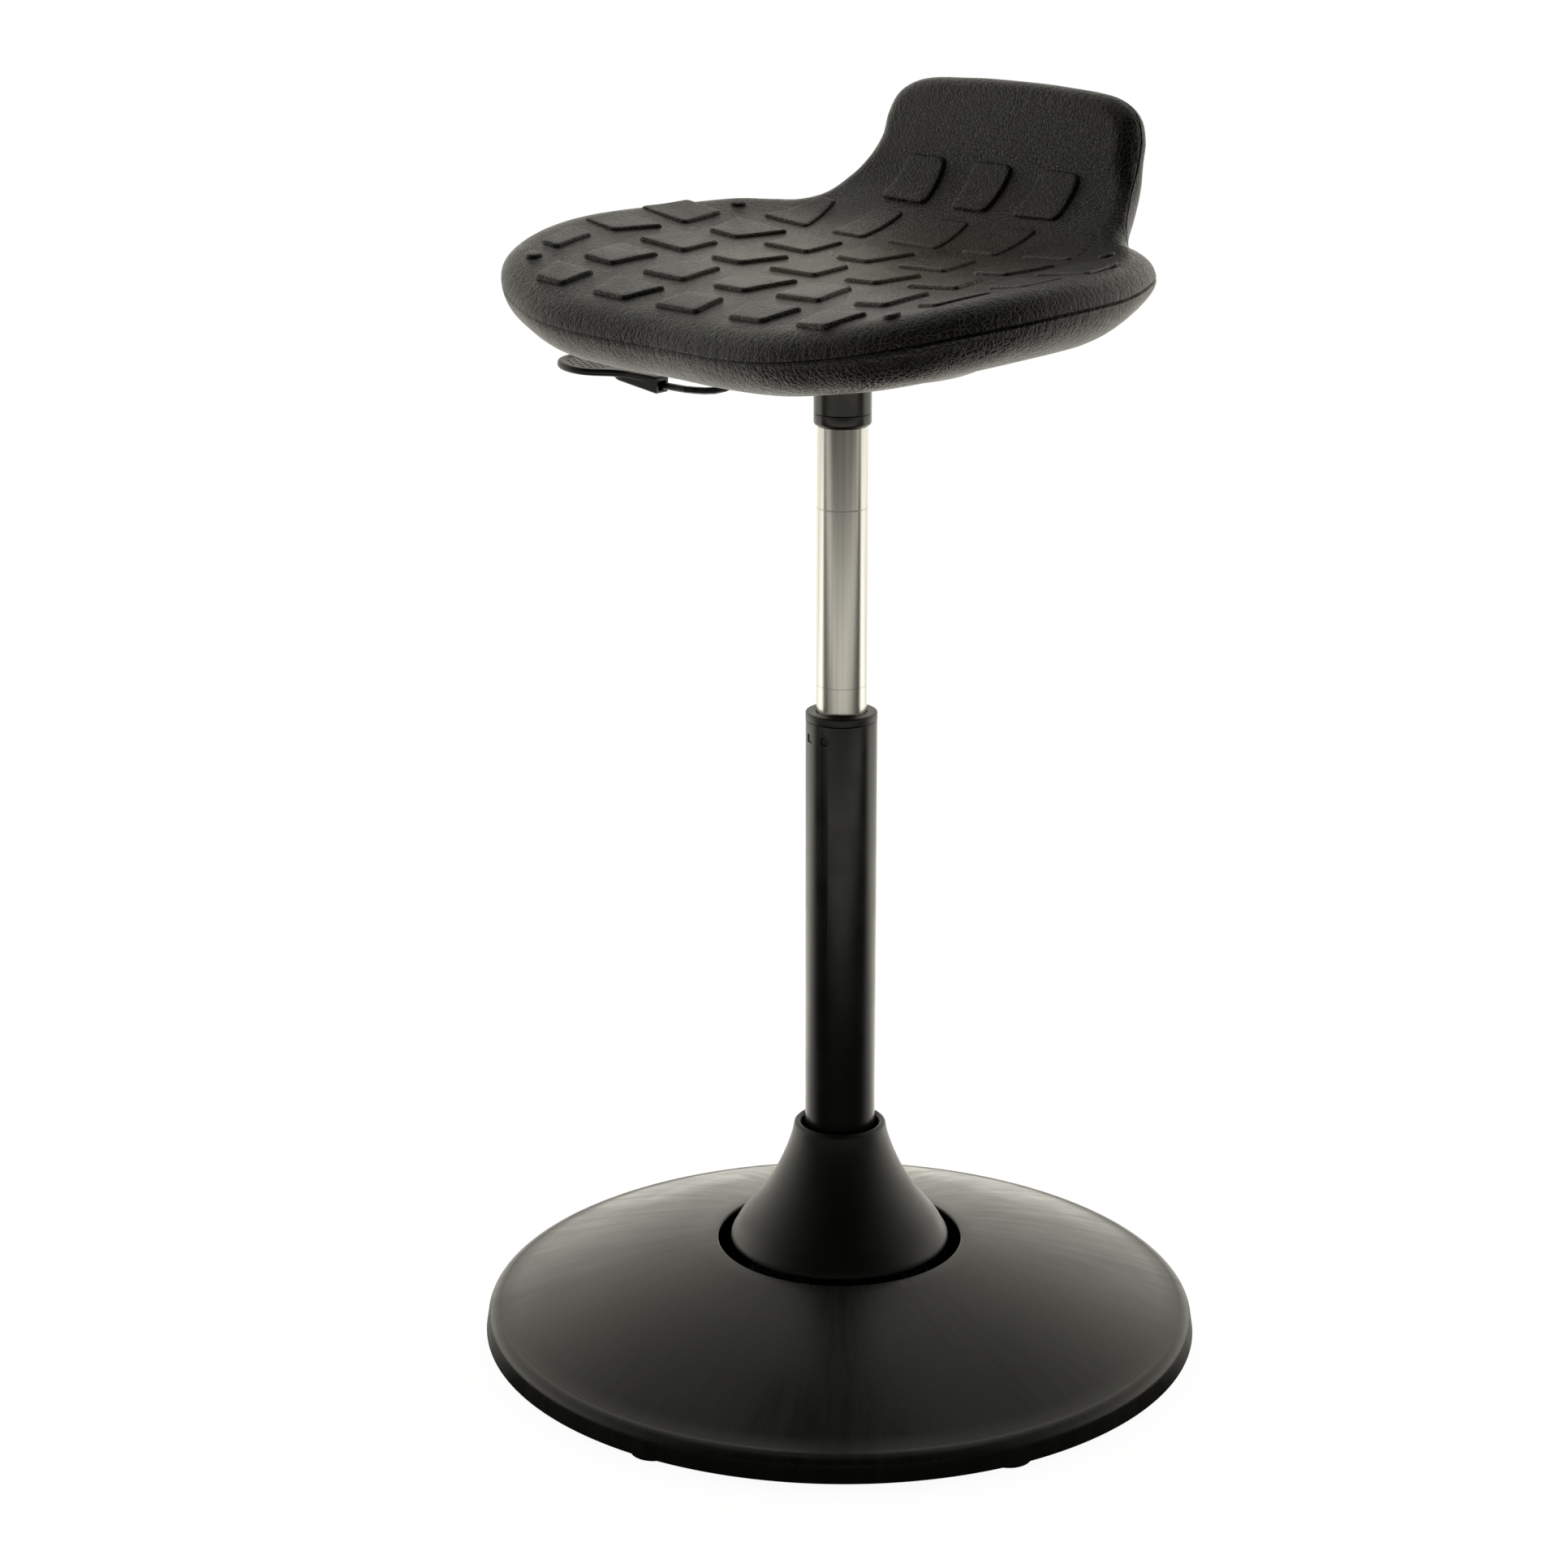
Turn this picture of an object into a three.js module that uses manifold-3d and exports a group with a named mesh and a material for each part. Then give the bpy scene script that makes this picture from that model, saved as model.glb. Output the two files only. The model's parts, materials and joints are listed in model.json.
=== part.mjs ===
// Perch stool: a foam saddle seat with a raised rear lip on a gas column, which swivels and leans
// in a rubber joint inside a heavy round base. Millimetres, +Z up. The origin is on the floor
// under the middle of the base, the front of the seat is -Y and the release handle is on -X.
import * as THREE from "three";
import { mergeVertices } from "three/addons/utils/BufferGeometryUtils.js";
import Module from "manifold-3d";

const wasm = await Module();
wasm.setup();

// Overall sizes
const baseRadius = 260;
const baseHeight = 70;
const columnTop = 460;
const liftTravel = 200;
const seatHalfWidth = 238;
const seatReach = 172;
const lipLength = 152;
const handleReach = 237;

// Clearances: pieces that rest on each other, pieces that run in each other, a loose passage
const restGap = 0.3;
const runGap = 0.35;
const leanGap = 0.6;
const passGap = 1.5;
const overrun = 4;
const weldDistance = 0.0001;

// Facets round a turned piece
const roundSides = 32;
const baseSides = 60;
const innerSides = 24;
const smallSides = 12;

// Base: a thin dome, a cast weight in it and rubber glides under its edge
const glideLift = 3;
const glideChamfer = 1;
const shellWall = 3.5;
const holeRadius = 88;
const rimHeight = 22;
const rimLean = 3.5;
const rimRound = 8;
const domeCrown = 5;
const ballastThickness = 10;
const ballastBottom = 6;
const ballastHoleRadius = 52;
const ballastEdge = 4;
const glideCount = 6;
const glideFirstAngle = 74.9;
const glideRadius = 16.5;
const glideInset = 3.5;
const glideNeckRadius = 11;
const glideStemRadius = 4;
const glideStemLength = 6;

// Rubber joint, which the column leans in
const jointHeight = 40;
const ballRadius = 40;
const innerRubberWall = 5.7;
const interleafWall = 2.7;
const outerRubberWall = 5.7;
const rubberHalfHeight = 20;
const cupHalfHeight = 22;
const cupRadius = 63;
const cupFlangeRadius = 82;
const cupFlangeThickness = 6;
const ballHalfHeight = 20;
const neckHalfHeight = 26;
const cupBoltCount = 4;
const boltHeadHeight = 4;
const boltHeadRadius = 5.8;
const boltShankRadius = 3;
const boltEmbed = 7;

// Column
const tubeRadius = 25;
const tubeWall = 2;
const tubeBottom = 24;
const bushLength = 90;
const collarHeight = 6;
const collarLip = 0.1;
const collarRound = 1.2;
const windowSize = 6;
const windowDrop = 11;
const roundWindowAngle = 18.2;
const squareWindowAngle = -16.6;
const rodRadius = 5;
const floorThickness = 4;
const raceThickness = 2;
const ballCount = 8;
const bearingBallRadius = 2;
const ballCirclePitch = 9;
const bufferHeight = 18;
const bufferRadius = 11;
const pistonHeight = 12;
const clipThickness = 1.5;

// Hub cover round the foot of the column
const skirtRadius = 79;
const skirtBottom = 70;
const hubHeight = 160;
const hubWall = 3;
const hubThroat = 33;
const hubThroatGap = 2.8;
const hubWebDrop = 62;
const hubWebThickness = 12;

// Gas cylinder and the taper that carries the seat
const cylinderRadius = 17.6;
const cylinderWall = 2.2;
const cylinderHidden = 90;
const boreRoom = 36;
const capLength = 9;
const stopGap = 2;
const socketRadius = 19.85;
const socketLength = 64;
const socketRound = 4.5;
const socketGroove = 0.6;
const socketGrooveRise = 8;
const socketFlangeRadius = 29;
const socketFlangeHeight = 4;
const taperBottomRadius = 14.6;
const taperTopRadius = 13.4;
const valveRadius = 4;
const valveLength = 12;
const valveStand = 4.5;

// Plate, board and foam of the seat
const plateThickness = 3;
const channelDepth = 19;
const channelHalfWidth = 38;
const channelFlange = 34;
const channelHalfLength = 50;
const plateBoltReachX = 57;
const plateBoltReachY = 34;
const plateBoltEmbed = 6.5;
const boardThickness = 9;
const boardHalfWidth = 150;
const boardHalfLength = 104;
const boardCorner = 60;
const foamOverBoard = 17.8;
const pocketHalfWidth = 78;
const pocketHalfLength = 55;
const pocketCorner = 18;
const bossRadius = 95;
const bossDepth = 68;

// Upper side of the seat: rises over its middle
const sideRise = 12.4;
const edgeCurl = 3.8;
const rimDrop = 22;
const frontDrop = 15;
const rimInset = 26;
const seatDepth = 48;
const rearLess = 7;
const underInset = 28;
const lipHalfThickness = 13;
const lipInset = 14;
const notchLess = 8;
const notchInset = 4;
const padHeight = 2.5;
const padSink = 3;
const padDraft = 1;
const studRadius = 6;
const studHeight = 2;

// Release handle, its rod and its pivot
const paddleThickness = 5;
const paddleHalfWidth = 29;
const handleDrop = 92.4;
const handleOffset = 35;
const handleTurn = 8;
const handleNeck = 9;
const keelDepth = 6;
const keelWall = 2;
const keelHalfWidth = 6;
const keelEnd = 147;
const keelLength = 42;
const keelHollow = 12;
const dishDepth = 0.9;
const dishBorder = 3;
const rodWireRadius = 2.5;
const rodInHandle = 26;
const rodStep = 12;
const pivotReach = 28;
const pivotPinRadius = 2;
const yokeHubWall = 1.6;
const earThickness = 3;
const earHalfSpan = 15;
const earHeight = 12;
const yokeThickness = 3;
const yokeHalfWidth = 11;
const yokeTip = 3;
const yokeTail = 5;

// Closes a geometry into one welded body with its faces out
function welded(geometry) {
  const bare = geometry.clone();
  for (const key of Object.keys(bare.attributes)) {
    if (key !== "position") bare.deleteAttribute(key);
  }
  const joined = mergeVertices(bare, weldDistance);
  const corners = joined.index.array;
  const kept = [];
  for (let i = 0; i < corners.length; i += 3) {
    const [a, b, c] = corners.slice(i, i + 3);
    if (a !== b && b !== c && c !== a) kept.push(a, b, c);
  }
  joined.setIndex(kept);
  if (enclosed(joined) < 0) joined.setIndex(kept.reverse());
  return joined;
}

// Six times the volume inside a closed geometry
function enclosed(geometry) {
  const corner = [new THREE.Vector3(), new THREE.Vector3(), new THREE.Vector3()];
  let sum = 0;
  for (let i = 0; i < geometry.index.count; i += 3) {
    corner.forEach((v, k) => {
      v.fromBufferAttribute(geometry.attributes.position, geometry.index.getX(i + k));
    });
    sum += corner[0].dot(corner[1].clone().cross(corner[2]));
  }
  return sum;
}

function solid(geometry) {
  const body = welded(geometry);
  const vertProperties = new Float32Array(body.attributes.position.array);
  const triVerts = new Uint32Array(body.index.array);
  return new wasm.Manifold(new wasm.Mesh({ numProp: 3, vertProperties, triVerts }));
}

function geometryOf(body) {
  const mesh = body.getMesh();
  const geometry = new THREE.BufferGeometry();
  geometry.setAttribute("position", new THREE.BufferAttribute(new Float32Array(mesh.vertProperties), 3));
  geometry.setIndex(new THREE.BufferAttribute(new Uint32Array(mesh.triVerts), 1));
  geometry.computeVertexNormals();
  return geometry;
}

function joined(bodies) {
  return bodies.reduce((sum, body) => sum.add(body));
}

function cut(body, tools) {
  return tools.reduce((rest, tool) => rest.subtract(tool), body);
}

// A turned body: [radius, height] points that start and end on the axis or close on themselves
function turned(profile, sides = roundSides) {
  const points = profile.map(([radius, height]) => new THREE.Vector2(radius, height));
  if (profile[0][0] > 0) points.push(points[0].clone());
  return solid(new THREE.LatheGeometry(points, sides).rotateX(Math.PI / 2));
}

function ring(inner, outer, bottom, top, sides = roundSides) {
  return turned([[inner, bottom], [outer, bottom], [outer, top], [inner, top]], sides);
}

function disc(radius, bottom, top, sides = roundSides) {
  return turned([[0, bottom], [radius, bottom], [radius, top], [0, top]], sides);
}

function block(x0, x1, y0, y1, z0, z1) {
  const box = new THREE.BoxGeometry(x1 - x0, y1 - y0, z1 - z0);
  return solid(box.translate((x0 + x1) / 2, (y0 + y1) / 2, (z0 + z1) / 2));
}

function moved(body, x, y, z = 0) {
  return body.translate([x, y, z]);
}

function slab(shape, bottom, top, curveSegments = 6) {
  const depth = top - bottom;
  const extruded = new THREE.ExtrudeGeometry(shape, { depth, bevelEnabled: false, curveSegments });
  return solid(extruded.translate(0, 0, bottom));
}

function roundedRectangle(halfX, halfY, corner) {
  const shape = new THREE.Shape();
  shape.absarc(halfX - corner, halfY - corner, corner, 0, Math.PI / 2);
  shape.absarc(corner - halfX, halfY - corner, corner, Math.PI / 2, Math.PI);
  shape.absarc(corner - halfX, corner - halfY, corner, Math.PI, 1.5 * Math.PI);
  shape.absarc(halfX - corner, corner - halfY, corner, 1.5 * Math.PI, 2 * Math.PI);
  shape.closePath();
  return shape;
}

function hexagon(radius) {
  const corners = Array.from({ length: 6 }, (_, i) => around(radius, i * 60));
  return new THREE.Shape(corners.map(([x, y]) => new THREE.Vector2(x, y)));
}

// A place on a circle, by its angle in degrees from -Y towards +X
function around(radius, degrees) {
  const angle = THREE.MathUtils.degToRad(degrees);
  return [radius * Math.sin(angle), -radius * Math.cos(angle)];
}

function ramp(value, from, to) {
  return THREE.MathUtils.smoothstep(value, from, to);
}

const blend = THREE.MathUtils.lerp;

// How far a point halfway round a quarter circle stands from its centre, along each side
const diagonal = Math.SQRT1_2;

function finish(color, roughness, metalness = 0) {
  return new THREE.MeshStandardMaterial({ color, roughness, metalness });
}

const paintedSteel = finish(0x3a3836, 0.55, 0.2);
const glossSteel = finish(0x1b1b1c, 0.3, 0.2);
const polishedSteel = finish(0xc9cbcd, 0.15, 1);
const plainSteel = finish(0x8b8d90, 0.4, 1);
const castIron = finish(0x3b3c3e, 0.8, 0.6);
const rubber = finish(0x1d1d1e, 0.85);
const blackPlastic = finish(0x232324, 0.45);
const foamSkin = finish(0x2c2b28, 0.6);
const plywood = finish(0xb08a5a, 0.7);

const stool = new THREE.Group();
const base = new THREE.Group();
const rocker = new THREE.Group();
const column = new THREE.Group();
const spindle = new THREE.Group();
const lift = new THREE.Group();
const lever = new THREE.Group();
stool.add(base);
base.add(rocker);
rocker.add(column);
column.add(spindle);
spindle.add(lift);
lift.add(lever);

function piece(group, name, body, material) {
  const mesh = new THREE.Mesh(geometryOf(body), material);
  mesh.name = name;
  group.add(mesh);
  return mesh;
}

// Base shell: near upright rim, rounded shoulder and a dome that rises to the hole
const rimFoot = baseRadius - rimLean / 2;
const rimTop = baseRadius - rimLean - rimRound;

function shellLine(inset) {
  const foot = [[rimFoot - inset, glideLift], [rimFoot - inset - rimLean / 2, rimHeight - rimRound]];
  const corner = [1, 2, 3].map((step) => {
    const angle = (step / 3) * (Math.PI / 2);
    const radius = rimTop + (rimRound + rimLean / 2 - inset) * Math.cos(angle) - rimLean / 2;
    return [radius, rimHeight - rimRound + (rimRound - inset) * Math.sin(angle)];
  });
  const dome = [1, 2, 3, 4].map((step) => {
    const share = step / 4;
    const rise = (baseHeight - rimHeight) * share + domeCrown * Math.sin(Math.PI * share);
    return [blend(rimTop - rimLean / 2, holeRadius, share), rimHeight + rise - inset];
  });
  return [...foot, ...corner, ...dome];
}

const shellProfile = [...shellLine(0), ...shellLine(shellWall).reverse()];
piece(base, "base_shell", turned(shellProfile, baseSides), paintedSteel);

// Cast weight on the glides, just inside the rim
const ballastTop = ballastBottom + ballastThickness;
const ballastRadius = rimFoot - shellWall - rimLean / 2 - restGap;
const glideCircle = baseRadius - glideInset - glideRadius;
const glidePlaces = Array.from({ length: glideCount }, (_, i) => {
  return around(glideCircle, glideFirstAngle + (i * 360) / glideCount);
});
const cupBoltCircle = (cupRadius + cupFlangeRadius) / 2;
const cupBoltPlaces = Array.from({ length: cupBoltCount }, (_, i) => {
  return around(cupBoltCircle, (i * 360) / cupBoltCount);
});
const glideStemTop = ballastBottom - restGap + glideStemLength;

const ballastBlank = turned([
  [ballastHoleRadius, ballastBottom],
  [ballastRadius, ballastBottom],
  [ballastRadius, ballastTop - ballastEdge],
  [ballastRadius - ballastEdge, ballastTop],
  [ballastHoleRadius, ballastTop],
], baseSides);
const glideSocket = disc(
  glideStemRadius + restGap, ballastBottom - overrun, glideStemTop + restGap, smallSides
);
const ballastBoltHole = disc(
  boltShankRadius + restGap, ballastTop - boltEmbed - restGap, ballastTop + overrun, smallSides
);
piece(base, "ballast_plate", cut(ballastBlank, [
  ...glidePlaces.map(([x, y]) => moved(glideSocket, x, y)),
  ...cupBoltPlaces.map(([x, y]) => moved(ballastBoltHole, x, y)),
]), castIron);

const glideDiscTop = glideLift - restGap;
const glide = turned([
  [0, 0],
  [glideRadius - glideChamfer, 0],
  [glideRadius, glideChamfer],
  [glideRadius, glideDiscTop],
  [glideNeckRadius, glideDiscTop],
  [glideNeckRadius, ballastBottom - restGap],
  [glideStemRadius, ballastBottom - restGap],
  [glideStemRadius, glideStemTop],
  [0, glideStemTop],
], smallSides);
glidePlaces.forEach(([x, y], i) => {
  piece(base, `glide_${i + 1}`, glide, rubber).position.set(x, y, 0);
});

// Rubber joint: spherical bands about one centre, between a steel cup and the ball sleeve
const bandSteps = [-1, -0.5, 0, 0.5, 1];

function band(inner, outer, halfHeight) {
  const side = (radius) => bandSteps.map((step) => {
    const height = step * halfHeight;
    return [Math.sqrt(radius * radius - height * height), jointHeight + height];
  });
  return turned([...side(inner).reverse(), ...side(outer)]);
}

const innerRubberRadius = ballRadius + leanGap;
const interleafRadius = innerRubberRadius + innerRubberWall + restGap;
const outerRubberRadius = interleafRadius + interleafWall + restGap;
const cupInnerRadius = outerRubberRadius + outerRubberWall + leanGap;
const cupBottom = ballastTop + restGap;
const cupTop = jointHeight + cupHalfHeight;
const flangeTop = cupBottom + cupFlangeThickness;
const cupInside = bandSteps.map((step) => {
  const height = step * cupHalfHeight;
  return [Math.sqrt(cupInnerRadius ** 2 - height ** 2), jointHeight + height];
});
cupInside[0][1] = cupBottom;
const cupBlank = turned([
  ...cupInside.reverse(),
  [cupFlangeRadius, cupBottom],
  [cupFlangeRadius, flangeTop],
  [cupRadius, flangeTop],
  [cupRadius, cupTop - restGap],
]);
const cupBoltHole = disc(boltShankRadius + restGap, cupBottom - overrun, flangeTop + overrun, smallSides);
piece(base, "joint_cup", cut(cupBlank, cupBoltPlaces.map(([x, y]) => moved(cupBoltHole, x, y))), plainSteel);

function bolt(headBottom, headHeight, headRadius, shankRadius, shankEnd) {
  const head = slab(hexagon(headRadius), headBottom, headBottom + headHeight);
  return head.add(disc(shankRadius, shankEnd, headBottom + headHeight / 2, smallSides));
}

const cupBolt = bolt(
  flangeTop + restGap, boltHeadHeight, boltHeadRadius, boltShankRadius, ballastTop - boltEmbed
);
cupBoltPlaces.forEach(([x, y], i) => {
  piece(base, `cup_bolt_${i + 1}`, cupBolt, plainSteel).position.set(x, y, 0);
});

for (const [name, inner, wall, material] of [
  ["inner_rubber", innerRubberRadius, innerRubberWall, rubber],
  ["interleaf_ring", interleafRadius, interleafWall, plainSteel],
  ["outer_rubber", outerRubberRadius, outerRubberWall, rubber],
]) {
  piece(rocker, name, band(inner, inner + wall, rubberHalfHeight), material);
}

// Ball sleeve pressed on the foot of the tube, with a neck that the hub cover sits on
const webBottom = hubHeight - hubWebDrop - hubWebThickness;
const sleeveBore = tubeRadius + restGap;
const ballSide = bandSteps.map((step) => {
  const height = step * ballHalfHeight;
  return [Math.sqrt(ballRadius ** 2 - height ** 2), jointHeight + height];
});
const ballNeck = [Math.sqrt(ballRadius ** 2 - neckHalfHeight ** 2), jointHeight + neckHalfHeight];
const neckRadius = (sleeveBore + ballNeck[0]) / 2 + restGap;
piece(column, "ball_sleeve", turned([
  [sleeveBore, jointHeight - ballHalfHeight],
  ...ballSide,
  ballNeck,
  [neckRadius, ballNeck[1] + hubWall],
  [neckRadius, webBottom - restGap],
  [sleeveBore, webBottom - restGap],
]), plainSteel);

// Outer tube with the snap windows of its bush
const tubeInner = tubeRadius - tubeWall;
const windowHeight = columnTop - windowDrop;
const tubeBlank = ring(tubeInner, tubeRadius, tubeBottom, columnTop);
const roundWindow = solid(
  new THREE.CylinderGeometry(windowSize / 2, windowSize / 2, tubeRadius, smallSides)
    .translate(0, -tubeRadius, 0)
);
const squareWindow = solid(
  new THREE.BoxGeometry(windowSize, tubeRadius, windowSize).translate(0, -tubeRadius, 0)
);

function onTube(body, degrees) {
  return body.rotate([0, 0, degrees]).translate([0, 0, windowHeight]);
}

const windowTurns = [0, 180];
piece(column, "outer_tube", cut(tubeBlank, [
  ...windowTurns.map((turn) => onTube(roundWindow, roundWindowAngle + turn)),
  ...windowTurns.map((turn) => onTube(squareWindow, squareWindowAngle + turn)),
]), glossSteel);

// Guide bush: a long sleeve in the tube with a collar on its mouth
const collarBottom = columnTop + restGap;
const collarTop = columnTop + collarHeight;
const collarRadius = tubeRadius + collarLip;
const bushBore = cylinderRadius + runGap;
const bushRadius = tubeInner - restGap;
piece(column, "guide_bush", turned([
  [bushBore, collarTop - bushLength],
  [bushRadius, collarTop - bushLength],
  [bushRadius, collarBottom],
  [collarRadius, collarBottom],
  [collarRadius, collarTop - collarRound],
  [collarRadius - collarRound, collarTop],
  [bushBore, collarTop],
]), blackPlastic);

// Foot of the tube: a floor washer and the lower race of the thrust bearing
const floorTop = tubeBottom + clipThickness + 2 * restGap + floorThickness;
const lowerRaceBottom = floorTop + restGap;
const lowerRaceTop = lowerRaceBottom + raceThickness;
const cageBottom = lowerRaceTop + restGap;
const upperRaceBottom = cageBottom + 2 * bearingBallRadius + restGap;
const upperRaceTop = upperRaceBottom + raceThickness;
const raceRadius = ballCirclePitch + 2 * bearingBallRadius;
const rodBore = rodRadius + runGap;
const floorBottom = floorTop - floorThickness;
piece(column, "tube_floor", ring(rodBore, bushRadius, floorBottom, floorTop, innerSides), plainSteel);
const lowerRace = ring(rodBore, raceRadius, lowerRaceBottom, lowerRaceTop, innerSides);
piece(column, "lower_race", lowerRace, plainSteel);

// Hub cover: a trumpet with a rounded skirt, carried by a web round the tube
const hubTopOuter = hubThroat;
const hubTopInner = tubeRadius + hubThroatGap;
const flareShares = [[0, 0.022], [0.045, 0.078], [0.14, 0.17], [0.27, 0.26], [0.41, 0.375],
  [0.545, 0.5], [0.68, 0.64], [0.83, 0.8], [0.93, 0.93]];
const flare = flareShares.map(([radiusShare, heightShare]) => {
  return [blend(skirtRadius, hubTopOuter, radiusShare), blend(skirtBottom, hubHeight, heightShare)];
});
const flareInside = flare.filter((_, i) => i % 2 === 0).map(([radius, height]) => {
  return [radius - hubWall, height - hubWall];
});
const throatMiddle = (hubTopOuter + hubTopInner) / 2;
const throatRound = (hubTopOuter - hubTopInner) / 2;
const webTop = webBottom + hubWebThickness;
const webEdge = flareInside.filter(([, height]) => height < webBottom);
const hubProfile = [
  [skirtRadius - hubWall, skirtBottom],
  [skirtRadius, skirtBottom],
  ...flare,
  [hubTopOuter, hubHeight - throatRound],
  [throatMiddle + diagonal * throatRound, hubHeight - (1 - diagonal) * throatRound],
  [throatMiddle, hubHeight],
  [throatMiddle - diagonal * throatRound, hubHeight - (1 - diagonal) * throatRound],
  [hubTopInner, hubHeight - throatRound],
  [hubTopInner, webTop + hubWall],
  [sleeveBore, webTop],
  [sleeveBore, webBottom],
  ...webEdge.reverse(),
];
piece(column, "hub_cover", turned(hubProfile), blackPlastic);

// Piston rod with its bearing, cushion and clip, which turn with the seat
const socketBottom = collarTop + liftTravel + stopGap;
const cylinderBottom = socketBottom - liftTravel - stopGap - cylinderHidden;
const capTop = cylinderBottom + capLength;
const pistonBottom = capTop + stopGap;
const pistonTop = pistonBottom + pistonHeight;
const rodBottom = tubeBottom + restGap - clipThickness;
const cylinderBore = cylinderRadius - cylinderWall;
piece(spindle, "piston_rod", disc(rodRadius, rodBottom, pistonBottom + pistonHeight / 2, innerSides), polishedSteel);
piece(spindle, "piston", cut(disc(cylinderBore - runGap, pistonBottom, pistonTop, innerSides), [
  disc(rodRadius + restGap, pistonBottom - overrun, pistonBottom + pistonHeight / 2 + restGap, innerSides),
]), blackPlastic);
const clipBlank = ring(
  rodRadius + restGap, 2 * rodRadius, tubeBottom + restGap, floorBottom - restGap, innerSides
);
piece(spindle, "rod_clip", clipBlank, plainSteel);
const upperRace = ring(rodRadius + restGap, raceRadius, upperRaceBottom, upperRaceTop, innerSides);
piece(spindle, "upper_race", upperRace, plainSteel);

const ballHeight = (lowerRaceTop + upperRaceBottom) / 2;
const cageBlank = ring(
  rodRadius + 2 * restGap, raceRadius,
  ballHeight - raceThickness / 2, ballHeight + raceThickness / 2, innerSides
);
const bearingBall = solid(new THREE.SphereGeometry(bearingBallRadius, 8, 5));
const cageHole = disc(bearingBallRadius + restGap, ballHeight - overrun, ballHeight + overrun, smallSides / 2);
const ballPlaces = Array.from({ length: ballCount }, (_, i) => around(ballCirclePitch, (i * 360) / ballCount));
piece(spindle, "ball_cage", cut(cageBlank, ballPlaces.map(([x, y]) => moved(cageHole, x, y))), plainSteel);
ballPlaces.forEach(([x, y], i) => {
  piece(spindle, `bearing_ball_${i + 1}`, bearingBall, polishedSteel).position.set(x, y, ballHeight);
});

const bufferBottom = upperRaceTop + restGap;
const buffer = ring(
  rodRadius + restGap, bufferRadius, bufferBottom, bufferBottom + bufferHeight, innerSides
);
piece(spindle, "rubber_buffer", buffer, rubber);

// Gas cylinder: open at its foot for the rod, tapered at its head for the socket
const webUnder = socketBottom + socketLength;
const channelBottom = webUnder + restGap;
const taperTop = channelBottom + plateThickness / 2;
const boreTop = cylinderBottom + liftTravel + boreRoom + pistonHeight;
const valveTop = taperTop + valveStand;
const valveBottom = valveTop - valveLength;
const valveBore = valveRadius + restGap;
const valveFloor = valveBottom - valveStand;
piece(lift, "gas_cylinder", turned([
  [cylinderBore, cylinderBottom],
  [cylinderRadius, cylinderBottom],
  [cylinderRadius, socketBottom - restGap],
  [taperBottomRadius, socketBottom - restGap],
  [taperTopRadius, taperTop],
  [valveBore, taperTop],
  [valveBore, valveFloor],
  [0, valveFloor],
  [0, boreTop],
  [cylinderBore, boreTop],
]), polishedSteel);

const cylinderCap = ring(rodBore, cylinderBore - restGap, cylinderBottom, capTop, innerSides);
piece(lift, "cylinder_cap", cylinderCap, blackPlastic);

// Taper socket welded under the channel plate
piece(lift, "taper_socket", turned([
  [taperBottomRadius + restGap, socketBottom],
  [socketRadius - socketRound, socketBottom],
  [socketRadius - (1 - diagonal) * socketRound, socketBottom + (1 - diagonal) * socketRound],
  [socketRadius, socketBottom + socketRound],
  [socketRadius, socketBottom + socketGrooveRise],
  [socketRadius - socketGroove, socketBottom + socketGrooveRise + socketGroove],
  [socketRadius, socketBottom + socketGrooveRise + 2 * socketGroove],
  [socketRadius, webUnder - socketFlangeHeight],
  [socketFlangeRadius, webUnder - socketFlangeHeight],
  [socketFlangeRadius, webUnder],
  [taperTopRadius + restGap, webUnder],
]), glossSteel);

// Channel plate: pressed steel, its flanges bolted to the board
const channelTop = channelBottom + channelDepth;
const boardBottom = channelTop + restGap;
const flangeBottom = channelTop - plateThickness;
const channelShape = new THREE.Shape([
  [-channelHalfWidth - channelFlange, channelTop],
  [-channelHalfWidth - channelFlange, flangeBottom],
  [-channelHalfWidth, flangeBottom],
  [-channelHalfWidth, channelBottom],
  [channelHalfWidth, channelBottom],
  [channelHalfWidth, flangeBottom],
  [channelHalfWidth + channelFlange, flangeBottom],
  [channelHalfWidth + channelFlange, channelTop],
  [channelHalfWidth - plateThickness, channelTop],
  [channelHalfWidth - plateThickness, channelBottom + plateThickness],
  [plateThickness - channelHalfWidth, channelBottom + plateThickness],
  [plateThickness - channelHalfWidth, channelTop],
].map(([x, z]) => new THREE.Vector2(x, z)));
const channelBlank = solid(
  new THREE.ExtrudeGeometry(channelShape, { depth: 2 * channelHalfLength, bevelEnabled: false })
    .rotateX(Math.PI / 2)
    .translate(0, channelHalfLength, 0)
);
const plateBoltPlaces = [[1, 1], [1, -1], [-1, -1], [-1, 1]].map(([x, y]) => {
  return [x * plateBoltReachX, y * plateBoltReachY];
});
const plateBoltHole = disc(boltShankRadius + restGap, flangeBottom - overrun, channelTop + overrun, smallSides);
const webTopFace = channelBottom + plateThickness;
const yokeHubRadius = pivotPinRadius + restGap + yokeHubWall;
const rodHeight = webTopFace + 3 * restGap + passGap + yokeHubRadius;
const rodSlot = block(
  -channelHalfWidth - overrun, plateThickness + runGap - channelHalfWidth,
  -yokeHalfWidth, yokeHalfWidth,
  webTopFace, flangeBottom
);
const crossHole = disc(taperTopRadius + passGap, channelBottom - overrun, webTopFace + overrun);
piece(lift, "channel_plate", cut(channelBlank, [
  ...plateBoltPlaces.map(([x, y]) => moved(plateBoltHole, x, y)),
  crossHole,
  rodSlot,
]), paintedSteel);

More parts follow.
